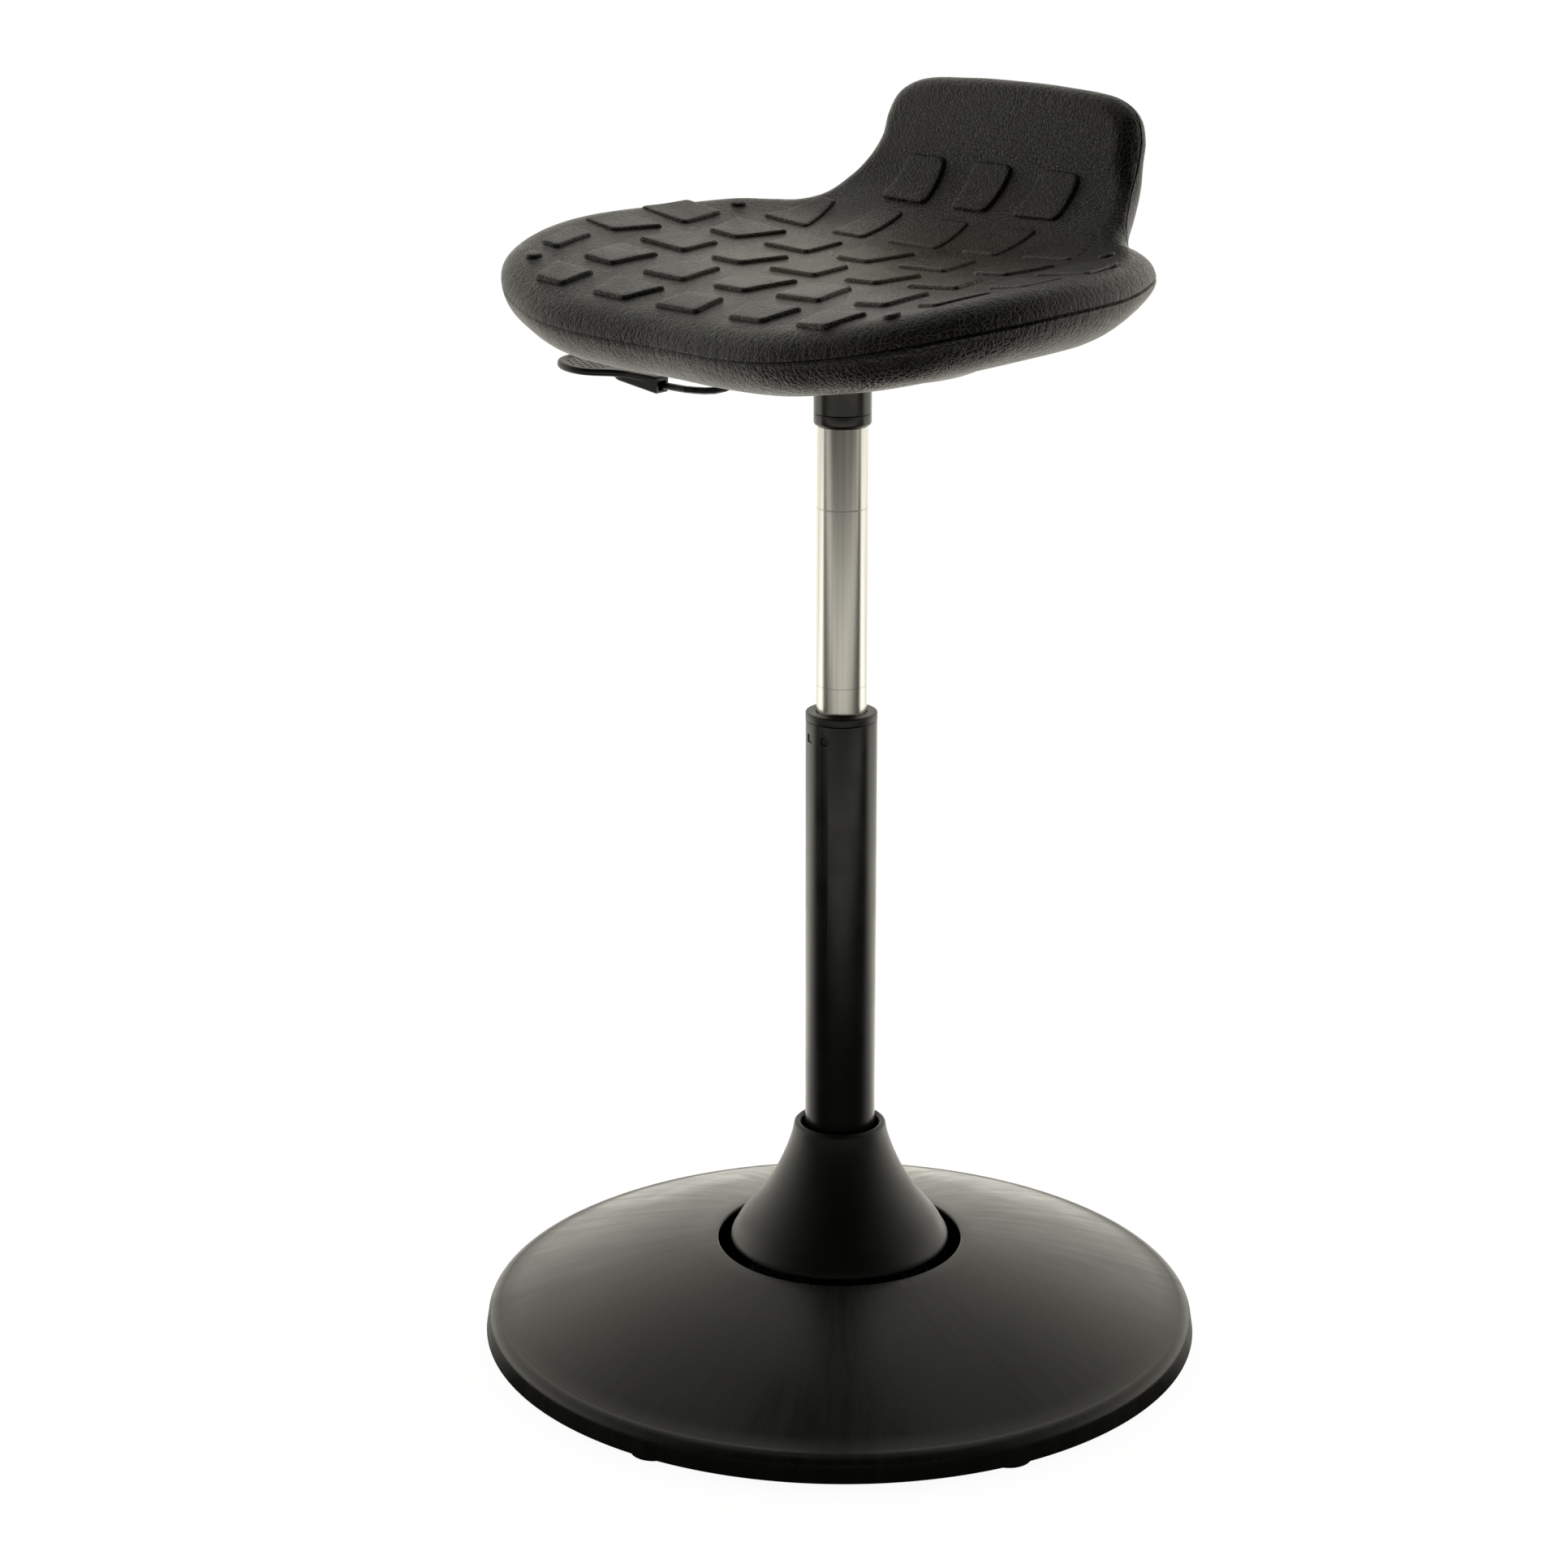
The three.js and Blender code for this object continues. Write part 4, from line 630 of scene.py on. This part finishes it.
# Moulded seat. Its flat pattern has x across and s along the midline from the column; t is the
# height over the upper side. The midline and the outline are given in shares of the half width,
# the reach and the lip's length.
seat = {
    "halfWidth": 238, "reach": 172, "lip": 152, "middle": 778.4,
    "sideRise": 12.4, "edgeCurl": 8.0, "shoulderRise": 2.8, "shoulderFrom": (0.1, 0.5),
    "shoulders": (0.58, 0.8), "sideFrom": (-183, -56), "notchFrom": (0.485, 0.76),
    "rimDrop": 22, "frontDrop": 15, "rimInset": 26, "depth": 47, "rearLess": 7, "underInset": 33,
    "underEase": -0.4, "underEnd": 0.33,
    "lipHalf": 13, "lipInset": 14, "notchLess": 8, "notchInset": 4,
    "bossRadius": 95, "bossLevel": 710.4, "bossShares": (0.75, 0.5, 0.25, 0.06), "edge": 1.5,
    "pocket": (78, 55, 18), "pocketShares": (0.66, 0.33), "slot": (150.3, 104.3, 60.3),
    "slotBottom": 751.3, "slotTop": 760.9,
    "columns": 336, "topRings": 46, "rimRings": 13, "underRings": 12, "sharp": 48,
    "seamDepth": 1.4, "seamAngle": 3.2,
    "wrinklesFrom": 0.9, "crestWrinkles": 0.4, "underWrinkles": 0.7,
    "pan": [(-0.872, -0.103), (-0.455, 0.0085), (-0.039, -0.0235), (0.378, 0.033)],
    "bend": [(0.378, 0.033), (0.6, 0.065), (0.812, 0.211), (0.838, 0.366)],
    "panSteps": 400, "bendSteps": 300, "lipTop": (0.892, 0.62),
    "outline": [(0, -1.045), (0.252, -1.056), (0.462, -1.04), (0.672, -0.942), (0.79, -0.846),
                (0.884, -0.72), (0.972, -0.453), (1, -0.17), (0.974, 0.14), (0.915, 0.358),
                (0.834, 0.531), (0.74, 0.635), (0.66, 0.671), (0.606, 0.712), (0.55, 0.844),
                (0.507, 1.01), (0.5, 1.105), (0.469, 1.199), (0.396, 1.257), (0.19, 1.284),
                (0, 1.289)],
}


def midlinePlaces(shares):
    return np.array([(y * seat["reach"], seat["middle"] + z * seat["lip"]) for y, z in shares])


# Midline from the front edge over the pan and the bend to the top of the lip
panLine = bezier(midlinePlaces(seat["pan"]), seat["panSteps"])
bendLine = bezier(midlinePlaces(seat["bend"]), seat["bendSteps"])
frontRun = panLine[0] - panLine[1]
frontEnd = panLine[0] + frontRun / np.linalg.norm(frontRun) * 2 * seat["rimInset"]
midline = np.vstack([frontEnd, panLine, bendLine[1:], midlinePlaces([seat["lipTop"]])])
runs = np.concatenate([[0], np.cumsum(np.linalg.norm(np.diff(midline, axis=0), axis=1))])
panEnd = seat["panSteps"] + 1
runs -= np.interp(0, midline[:panEnd, 0], runs[:panEnd])
slopes = np.arctan2(np.gradient(midline[:, 1], runs), np.gradient(midline[:, 0], runs))
bendStart, bendEnd = runs[seat["panSteps"]], runs[seat["panSteps"] + seat["bendSteps"] - 1]
shoulders = [share * seat["halfWidth"] for share in seat["shoulders"]]


def midlineAt(s):
    inside = np.clip(s, runs[0], runs[-1])
    slope = np.interp(inside, runs, slopes)
    y = np.interp(inside, runs, midline[:, 0]) + (s - inside) * np.cos(slope)
    z = np.interp(inside, runs, midline[:, 1]) + (s - inside) * np.sin(slope)
    return y, z, slope


def seatPlaces(x, s, t):
    # Bends the flat pattern: the middle turns up into the lip, the shoulders run on level
    y, z, slope = midlineAt(s)
    panY, panZ, panSlope = midlineAt(bendStart)
    outward = ramp(np.abs(x), *shoulders)
    past = np.maximum(s - bendStart, 0)
    flatY = np.where(s > bendStart, panY + past * np.cos(panSlope), y)
    flatZ = np.where(s > bendStart, panZ + past * np.sin(panSlope), z)
    lean = mixed(slope, np.minimum(slope, panSlope), outward)
    across = x / seat["halfWidth"]
    fade = 1 - ramp(s, (bendStart + bendEnd) / 2, bendEnd + seat["lipInset"])
    height = t + (seat["sideRise"] * across ** 2 + seat["edgeCurl"] * across ** 4) * fade
    behind = ramp(s / seat["reach"], *seat["shoulderFrom"])
    height = height + seat["shoulderRise"] * behind * outward
    return np.stack([x, mixed(y, flatY, outward) - height * np.sin(lean),
                     mixed(z, flatZ, outward) + height * np.cos(lean)], axis=-1)


# Outline walked at even steps, each with its outward direction
rightHalf = np.array(seat["outline"]) * (seat["halfWidth"], seat["reach"])
knots = np.vstack([rightHalf, (rightHalf * (-1, 1))[-2:0:-1]])
roundSeat = splineParts(np.vstack([knots[-1:], knots, knots[:2]]))
outline = walked(roundSeat, seat["columns"], endpoint=False)
tangent = np.roll(outline, -1, axis=0) - np.roll(outline, 1, axis=0)
tangent /= np.linalg.norm(tangent, axis=1)[:, None]
edgeX, edgeS = outline.T
outX, outS = tangent[:, 1], -tangent[:, 0]

# Size of the rim at each step: front, sides, the notch beside the lip, and the lip
notchStart, notchEnd = (mixed(bendStart, bendEnd, share) for share in seat["notchFrom"])
lipShare = ramp(edgeS, bendStart, bendEnd) * (1 - ramp(np.abs(edgeX), *shoulders))
notch = ramp(edgeS, notchStart, notchEnd) * (1 - ramp(edgeS, bendEnd - seat["lipHalf"],
                                                      bendEnd + seat["lipInset"]))
saddleDrop = mixed(seat["frontDrop"], seat["rimDrop"], ramp(edgeS, *seat["sideFrom"]))
drop = mixed(saddleDrop, seat["lipHalf"], lipShare) - seat["notchLess"] * notch
saddleDepth = seat["depth"] - seat["rearLess"] * ramp(edgeS, 0, seat["reach"] / 2)
depth = mixed(saddleDepth, 2 * seat["lipHalf"], lipShare)
inset = mixed(seat["rimInset"], seat["lipInset"], lipShare) - seat["notchInset"] * notch
underInset = mixed(seat["underInset"], seat["lipInset"], lipShare)
crestX, crestS = edgeX - outX * inset, edgeS - outS * inset


def rimPlaces(angle, side, extra=0.0):
    # Side 1 is above the seam and -1 below it; the angle runs from 0 at the seam to 90
    turn = math.radians(angle)
    drawnIn = (inset if side > 0 else underInset) * (1 - math.cos(turn)) + extra
    t = drop * (math.sin(turn) - 1) if side > 0 else -drop - (depth - drop) * math.sin(turn)
    return edgeX - outX * drawnIn, edgeS - outS * drawnIn, t


# Under the rim every column runs straight in to the column of the stool
underX, underS, underT = rimPlaces(90, -1)
underReach = np.hypot(underX, underS)
rayX, rayS = underX / underReach, underS / underReach


def underPlaces(share):
    radius = mixed(seat["bossRadius"], underReach, share)
    places = seatPlaces(rayX * radius, rayS * radius, underT)
    places[:, 2] = mixed(seat["bossLevel"], places[:, 2], ramp(share, seat["underEase"], 1))
    return places


def aroundColumn(radius, height):
    return np.stack([rayX * radius, rayS * radius, np.full(len(rayX), float(height))], axis=-1)


def boxRadius(halfX, halfY, corner):
    # How far a rounded rectangle stands out in each column's direction
    cx, cy = np.abs(rayX), np.abs(rayS)
    radius = np.minimum(halfX / np.maximum(cx, 1e-9), halfY / np.maximum(cy, 1e-9))
    inCorner = (radius * cx > halfX - corner) & (radius * cy > halfY - corner)
    along = cx * (halfX - corner) + cy * (halfY - corner)
    root = np.maximum(along ** 2 - (halfX - corner) ** 2 - (halfY - corner) ** 2 + corner ** 2, 0)
    return np.where(inCorner, along + np.sqrt(root), radius)


# Rings from the middle of the upper side out to the seam and in under the seat, each with how much
# of the rim's wrinkles and of the seam's shade it takes
rings = []
for share in np.linspace(0, 1, seat["topRings"]):
    nearRim = max(0.0, (share - seat["wrinklesFrom"]) / (1 - seat["wrinklesFrom"]))
    rings.append((seatPlaces(crestX * share, crestS * share, 0 * crestX),
                  nearRim * seat["crestWrinkles"], 0))
for angle in np.linspace(90, seat["seamAngle"], seat["rimRings"])[1:]:
    wrinkled = mixed(seat["crestWrinkles"], 1, math.cos(math.radians(angle)))
    rings.append((seatPlaces(*rimPlaces(angle, 1)), wrinkled, 0))
rings.append((seatPlaces(*rimPlaces(0, 1, seat["seamDepth"])), 1, 1))
for angle in np.linspace(seat["seamAngle"], 90, seat["rimRings"]):
    wrinkled = seat["underWrinkles"] * math.cos(math.radians(angle))
    rings.append((seatPlaces(*rimPlaces(angle, -1)), wrinkled, 0))
boss = aroundColumn(seat["bossRadius"], seat["bossLevel"])
pocket, slot = boxRadius(*seat["pocket"]), boxRadius(*seat["slot"])
underShares = np.linspace(1, seat["underEnd"], seat["underRings"])[1:]
underside = [underPlaces(share) for share in underShares]
underside += [mixed(boss, underside[-1], share) for share in seat["bossShares"]]
underside += [aroundColumn(seat["bossRadius"] - seat["edge"], seat["bossLevel"])]
underside += [aroundColumn(mixed(pocket, seat["bossRadius"], share), seat["bossLevel"])
              for share in seat["pocketShares"]]
underside += [aroundColumn(radius, height) for radius, height in (
    (pocket + seat["edge"], seat["bossLevel"]), (pocket, seat["bossLevel"] + seat["edge"]),
    (pocket, seat["slotBottom"]), (slot, seat["slotBottom"]), (slot, seat["slotTop"]),
    (0, seat["slotTop"]))]
rings += [(places, 0, 0) for places in underside]

cushion = bmesh.new()
layers = [cushion.verts.layers.float.new(name) for name in ("rimShare", "grooveShade", "padShare")]
bmesh.ops.create_grid(cushion, x_segments=seat["columns"], y_segments=len(rings) - 1, size=1)
for vert in cushion.verts:
    column = round((vert.co.x + 1) / 2 * seat["columns"]) % seat["columns"]
    places, vert[layers[0]], vert[layers[1]] = rings[round((vert.co.y + 1) / 2 * (len(rings) - 1))]
    vert.co = places[column] * mm
bmesh.ops.remove_doubles(cushion, verts=cushion.verts, dist=0.002 * mm)
bmesh.ops.recalc_face_normals(cushion, faces=cushion.faces)
print("seat body made:", len(cushion.faces), "faces")

# Raised pads. Each row has its front and back, and the inner and outer edge of each pad at them;
# a pad with two values lies over the middle. The last row is on the lip.
pads = {
    "heights": (1.7, 2.2, 2.4, 2.4, 2.4, 2.5), "corners": (4, 4, 4, 4, 4, 6), "sink": 2,
    "edge": 1.5, "draft": 1.6, "grid": 7, "grown": 1, "flatter": 0.6, "flatterFrom": (0.68, 0.92),
    "footShade": 0.55, "footBelow": 0.9, "topAbove": 0.3,
    "rows": [
        (0.369, 0.636, [(0.101, 0.055), (0.203, 0.334, 0.214, 0.326),
                        (0.437, 0.626, 0.498, 0.559)]),
        (0.041, 0.262, [(0.065, 0.103), (0.183, 0.373, 0.195, 0.345), (0.482, 0.607, 0.431, 0.652),
                        (0.71, 0.908, 0.722, 0.875)]),
        (-0.279, -0.07, [(0.097, 0.08), (0.211, 0.34, 0.164, 0.372), (0.453, 0.653, 0.469, 0.604),
                         (0.761, 0.897, 0.714, 0.903)]),
        (-0.605, -0.384, [(0.067, 0.117), (0.185, 0.366, 0.205, 0.331),
                          (0.494, 0.622, 0.471, 0.632), (0.735, 0.807, 0.768, 0.86)]),
        (-0.878, -0.712, [(0.088, 0.073), (0.214, 0.352, 0.171, 0.386), (0.479, 0.6, 0.477, 0.64)]),
        (0.71, 0.945, [(0.071, 0.078), (0.175, 0.357, 0.194, 0.344)]),
    ],
    "studs": [(0.735, -0.725), (0.748, 0.39)], "studRadius": 6.2, "studHeight": 2, "studEdge": 1.2,
    "studDraft": 0.8, "studSteps": 30,
}


def blockFrom(corners, corner, height, edge, draft):
    # A low block with a softened upper edge, drawn up from its outline
    shape = bmesh.new()
    made = bmesh.ops.create_circle(shape, cap_ends=True, segments=len(corners), radius=1)
    for vert, (x, s) in zip(made["verts"], corners):
        vert.co = (x, s, -pads["sink"])
    if corner:
        bmesh.ops.bevel(shape, geom=shape.verts[:], offset=corner, offset_type="OFFSET", segments=5,
                        profile=0.5, affect="VERTICES", material=-1, clamp_overlap=True)
    drawn = bmesh.ops.extrude_face_region(shape, geom=shape.faces[:])["geom"]
    topVerts = [part for part in drawn if isinstance(part, bmesh.types.BMVert)]
    topFace = next(part for part in drawn if isinstance(part, bmesh.types.BMFace))
    middle = sum((vert.co for vert in topVerts), Vector()) / len(topVerts)
    for vert in topVerts:
        vert.co += Vector((0, 0, height + pads["sink"])) - (vert.co - middle).normalized() * draft
    bmesh.ops.bevel(shape, geom=list(topFace.edges), offset=edge, offset_type="OFFSET", segments=3,
                    profile=0.5, affect="EDGES", material=-1, clamp_overlap=True)
    footLayer = shape.verts.layers.float.new("grooveShade")  # painted shade where the pad meets the seat
    topLayer = shape.verts.layers.float.new("padShare")  # duller on top, and browner with wear and a painted sheen
    for vert in shape.verts:
        vert[footLayer] = pads["footShade"] if vert.co.z < height - pads["footBelow"] * edge else 0
        vert[topLayer] = 1 if vert.co.z > height - pads["topAbove"] * edge else 0
    # Cut into a grid, so that it can bend with the seat
    places = np.array([vert.co for vert in shape.verts])
    for axis in (0, 1):
        for mark in np.arange(places[:, axis].min(), places[:, axis].max(), pads["grid"])[1:]:
            plane, normal = Vector((0, 0, 0)), Vector((0, 0, 0))
            plane[axis], normal[axis] = mark, 1
            bmesh.ops.bisect_plane(shape, geom=shape.verts[:] + shape.edges[:] + shape.faces[:],
                                   plane_co=plane, plane_no=normal, dist=0.01)
    return shape


relief = bmesh.new()


def addRelief(shape):
    # Bends a block with the seat, flatter towards the sides, and adds it to the relief
    verts = list(shape.verts)
    x, s, t = np.array([vert.co for vert in verts]).T
    outward = ramp(np.abs(x) / seat["halfWidth"], *pads["flatterFrom"])
    for vert, place in zip(verts, seatPlaces(x, s, t * (1 - pads["flatter"] * outward)) * mm):
        vert.co = place
    bmesh.ops.recalc_face_normals(shape, faces=shape.faces)
    mesh = bpy.data.meshes.new("relief")
    shape.to_mesh(mesh)
    shape.free()
    relief.from_mesh(mesh)
    bpy.data.meshes.remove(mesh)


for height, corner, (front, back, row) in zip(pads["heights"], pads["corners"], pads["rows"]):
    for pad in row:
        overMiddle = len(pad) == 2
        sides = (-pad[0], pad[0], -pad[1], pad[1]) if overMiddle else pad
        innerFront, outerFront, innerBack, outerBack = sides
        for side in ((1,) if overMiddle else (1, -1)):
            places = np.array([(innerFront, front), (outerFront, front),
                               (outerBack, back), (innerBack, back)])
            places *= (side * seat["halfWidth"], seat["reach"])
            places += np.sign(places - places.mean(axis=0)) * pads["grown"]
            addRelief(blockFrom(places, corner, height, pads["edge"], pads["draft"]))
lastTurn = 360 - 360 / pads["studSteps"]
for x, s in pads["studs"]:
    for side in (1, -1):
        circle = [(side * x * seat["halfWidth"] + u, s * seat["reach"] + v)
                  for u, v in arc(0, pads["studRadius"], 0, lastTurn, pads["studSteps"])]
        addRelief(blockFrom(circle, 0, pads["studHeight"], pads["studEdge"], pads["studDraft"]))
print("pads made:", len(relief.faces), "faces")
seatShape = combinedShape(cushion, relief, "UNION")
seatPiece = finishPiece("seat_cushion", seatShape, "seat_foam", seat["sharp"])
print("seat made:", len(seatPiece.data.polygons), "faces")

# Release handle: a dished paddle with a dimpled panel, on a keel that grips the rod
handle = {
    "end": 147, "centre": 208, "halfWidth": 29, "turn": 188, "tilt": 4, "offset": 35, "top": 686,
    "thickness": 5, "edge": 1.9, "endHalf": 6, "neck": 9, "neckReach": 168,
    "flare": 0.7, "flareSteps": 18, "roundSteps": 44, "border": 2.6, "slope": 1.6, "dish": 1,
    "keelNose": 189, "keelDepth": 7, "keelRise": 5, "keelEdge": 1.2, "keelSteps": 20,
    "hollowLength": 12, "hollowHalf": 4, "hollowHeight": 7, "hollowDrop": 1.5, "hollowPast": 2,
    "dot": 1.25, "dotDepth": 1.7, "dotPitch": 5.4, "dotNearer": 0.87, "dotReach": 19,
    "dotHalf": 21, "dotShift": 2, "dotRows": 4, "dotSteps": 12, "sharp": 40,
}


def outlined(points, bottom, top):
    # A solid plate from its outline
    shape = bmesh.new()
    made = bmesh.ops.create_circle(shape, cap_ends=True, segments=len(points), radius=1)
    for vert, (u, v) in zip(made["verts"], points):
        vert.co = Vector((u, v, bottom)) * mm
    drawn = bmesh.ops.extrude_face_region(shape, geom=shape.faces[:])["geom"]
    topVerts = [part for part in drawn if isinstance(part, bmesh.types.BMVert)]
    bmesh.ops.translate(shape, verts=topVerts, vec=(0, 0, (top - bottom) * mm))
    bmesh.ops.recalc_face_normals(shape, faces=shape.faces)
    return shape


def softened(shape, height, offset, segments=4):
    # Bevels the edges that lie at one height
    edges = [edge for edge in shape.edges
             if all(abs(vert.co.z - height * mm) < 0.01 * mm for vert in edge.verts)]
    bmesh.ops.bevel(shape, geom=edges, offset=offset * mm, offset_type="OFFSET", segments=segments,
                    profile=0.5, affect="EDGES", material=-1, clamp_overlap=True)


near = handle["centre"] - handle["flare"] * handle["halfWidth"]
waistLine = bezier(np.array([
    (handle["neckReach"], -handle["neck"]), (near, -handle["neck"]),
    (near, -handle["halfWidth"]), (handle["centre"], -handle["halfWidth"]),
]), handle["flareSteps"])
lowerHalf = [(handle["end"], -handle["endHalf"]), *map(tuple, waistLine)]
roundEnd = arc(handle["centre"], handle["halfWidth"], -90, 90, handle["roundSteps"])
paddleLine = [*lowerHalf[:-1], *roundEnd, *((u, -v) for u, v in lowerHalf[-2::-1])]
bottom = handle["top"] - handle["thickness"]
paddle = outlined(paddleLine, bottom, handle["top"])
softened(paddle, handle["top"], handle["edge"])
softened(paddle, bottom, handle["edge"])
upperFaces = [part for part in paddle.faces
              if part.calc_center_median().z > (handle["top"] - 0.1) * mm]
panel = max(upperFaces, key=lambda part: part.calc_area())
for thickness, rise in ((handle["border"], 0), (handle["slope"], -handle["dish"])):
    bmesh.ops.inset_region(paddle, faces=[panel], thickness=thickness * mm, depth=rise * mm,
                           use_even_offset=True)
keelLine = [(handle["end"], -handle["endHalf"]),
            *arc(handle["keelNose"] - handle["neck"], handle["neck"], -90, 90, handle["keelSteps"]),
            (handle["end"], handle["endHalf"])]
keel = outlined(keelLine, bottom - handle["keelDepth"], bottom + handle["thickness"] / 2)
softened(keel, bottom - handle["keelDepth"], handle["keelEdge"], 3)
for vert in keel.verts:  # it runs out into the paddle
    if vert.co.z < (bottom - 1) * mm:
        share = (vert.co.x / mm - handle["end"]) / (handle["keelNose"] - handle["end"])
        vert.co.z += share * handle["keelRise"] * mm
grip = combinedShape(paddle, keel, "UNION")
hollow = bmesh.new()
hollowMiddle = handle["end"] + handle["hollowLength"] / 2 - handle["hollowPast"]
bmesh.ops.create_cube(hollow, size=1, matrix=Matrix.Translation(
    Vector((hollowMiddle, 0, bottom - handle["hollowDrop"])) * mm) @ Matrix.Diagonal(
    ((handle["hollowLength"] + 2 * handle["hollowPast"]) * mm, 2 * handle["hollowHalf"] * mm,
     handle["hollowHeight"] * mm, 1)))
grip = combinedShape(grip, hollow, "DIFFERENCE")
dots = bmesh.new()
dotNumbers = range(-handle["dotRows"], handle["dotRows"] + 1)
dotMiddle = handle["centre"] + handle["dotShift"]
for row in dotNumbers:
    for column in dotNumbers:
        u = column * handle["dotPitch"] * handle["dotNearer"]  # as close as in a honeycomb
        v = (row + (column % 2) / 2) * handle["dotPitch"]
        if (u / handle["dotReach"]) ** 2 + (v / handle["dotHalf"]) ** 2 < 1:
            place = Vector((dotMiddle + u, v, handle["top"] - handle["dish"]))
            bmesh.ops.create_cone(dots, cap_ends=True, segments=handle["dotSteps"],
                                  radius1=handle["dot"] * mm, radius2=handle["dot"] * mm,
                                  depth=2 * handle["dotDepth"] * mm,
                                  matrix=Matrix.Translation(place * mm))
grip = combinedShape(grip, dots, "DIFFERENCE")
turned = (Matrix.Translation(Vector((-handle["end"], -handle["offset"], bottom)) * mm)
          @ Matrix.Rotation(math.radians(handle["turn"]), 4, "Z")
          @ Matrix.Rotation(-math.radians(handle["tilt"]), 4, "Y")
          @ Matrix.Translation(Vector((-handle["end"], 0, -bottom)) * mm))
bmesh.ops.transform(grip, matrix=turned, verts=grip.verts)
finishPiece("dimpled_handle", grip, "release_handle", handle["sharp"])
print("handle made")

# Plain floor: white to the camera with the stool's soft shadow. To the stool it is dark in front
# but for a pale strip that the cylinder mirrors, and bright behind. Its lengths are metres.
studio = {
    "floor": 7, "floorGap": 0.0002, "away": (-0.69, 0.66, 0.0),
    "glow": 0.95, "shadow": (0.2, 0.2, 0.2, 1), "tint": "#fffcf0", "white": "#ffffff",
    "stripPlace": 1.9, "strip": {"From Min": 0.7, "From Max": 1.0, "To Min": 1.15, "To Max": 0},
    "behind": {"From Min": -0.1, "From Max": 0.4, "To Min": 0.03, "To Max": 1.9},
    "farther": {"From Min": 0.6, "From Max": 1.3, "To Min": 0, "To Max": -0.7},
    "around": {"From Min": -0.68, "From Max": 0.55, "To Min": 0.04, "To Max": 1.3},
    "upward": {"From Min": 0.25, "From Max": 0.9, "To Min": 1, "To Max": 0.1},
    "lampSize": 2.6, "lampPlace": (-0.5, 0.6, 3.1), "lampPower": 4,
}
floorShape = bmesh.new()
bmesh.ops.create_grid(floorShape, x_segments=1, y_segments=1, size=studio["floor"])
bmesh.ops.translate(floorShape, verts=floorShape.verts, vec=(0, 0, -studio["floorGap"]))
floorMesh = bpy.data.meshes.new("floor")
floorShape.to_mesh(floorMesh)
floorShape.free()
floor = bpy.data.objects.new("floor", floorMesh)
bpy.context.scene.collection.objects.link(floor)
paper = {"colour": studio["white"], "roughness": 0.9}
floorMaterial, tree, shader, place = newMaterial("paperFloor", paper)
tree.nodes.remove(shader)
toCamera = addNode(tree, "LightPath").outputs["Is Camera Ray"]
span = addNode(tree, "VectorMath", {1: studio["away"]}, {0: place}, operation="DOT_PRODUCT")
fromStrip = addNode(tree, "Math", {1: studio["stripPlace"]}, {0: span}, operation="ADD")
fromStrip = addNode(tree, "Math", links={0: fromStrip}, operation="ABSOLUTE")
bright = addNode(tree, "MapRange", studio["strip"], {"Value": fromStrip})
for key in ("behind", "farther"):
    layer = addNode(tree, "MapRange", studio[key], {"Value": span})
    bright = addNode(tree, "Math", links={0: layer, 1: bright}, operation="ADD")
towardsStool = addNode(tree, "Emission", {"Color": linear(studio["tint"])}, {"Strength": bright})
shaded = addNode(tree, "BsdfDiffuse", {"Color": studio["shadow"]})
glow = addNode(tree, "Emission", {"Strength": studio["glow"]})
towardsCamera = addNode(tree, "AddShader", links={0: shaded, 1: glow})
either = addNode(tree, "MixShader", links={0: toCamera, 1: towardsStool, 2: towardsCamera})
setNode(tree, tree.nodes["Material Output"], links={"Surface": either})
floorMesh.materials.append(floorMaterial)

# Studio: a white tent that is open and dark on the side of the camera, and one soft top light
world = bpy.data.worlds.new("studio")
bpy.context.scene.world = world
world.use_nodes = True
tree = world.node_tree
direction = addNode(tree, "TexCoord").outputs["Generated"]
span = addNode(tree, "VectorMath", {1: studio["away"]}, {0: direction}, operation="DOT_PRODUCT")
around = addNode(tree, "MapRange", studio["around"], {"Value": span},
                 interpolation_type="SMOOTHSTEP")
height = addNode(tree, "SeparateXYZ", links={"Vector": direction}).outputs["Z"]
upward = addNode(tree, "MapRange", studio["upward"], {"Value": height})
soft = addNode(tree, "Math", links={0: around, 1: upward}, operation="MULTIPLY")
toCamera = addNode(tree, "LightPath").outputs["Is Camera Ray"]
strength = addNode(tree, "Mix", {"B": 1.0}, {"Factor": toCamera, "A": soft}, data_type="FLOAT")
shade = addNode(tree, "Mix", {"A": linear(studio["tint"]), "B": linear(studio["white"])},
                {"Factor": toCamera}, data_type="RGBA")
setNode(tree, tree.nodes["Background"], links={"Strength": strength, "Color": shade})
lamp = bpy.data.lights.new("top_light", "AREA")
lamp.shape, lamp.size, lamp.energy = "DISK", studio["lampSize"], studio["lampPower"]
lampObject = bpy.data.objects.new("top_light", lamp)
lampObject.location = studio["lampPlace"]
lampObject.rotation_euler = Vector(studio["lampPlace"]).to_track_quat("Z", "Y").to_euler()
bpy.context.scene.collection.objects.link(lampObject)
print("studio lit")
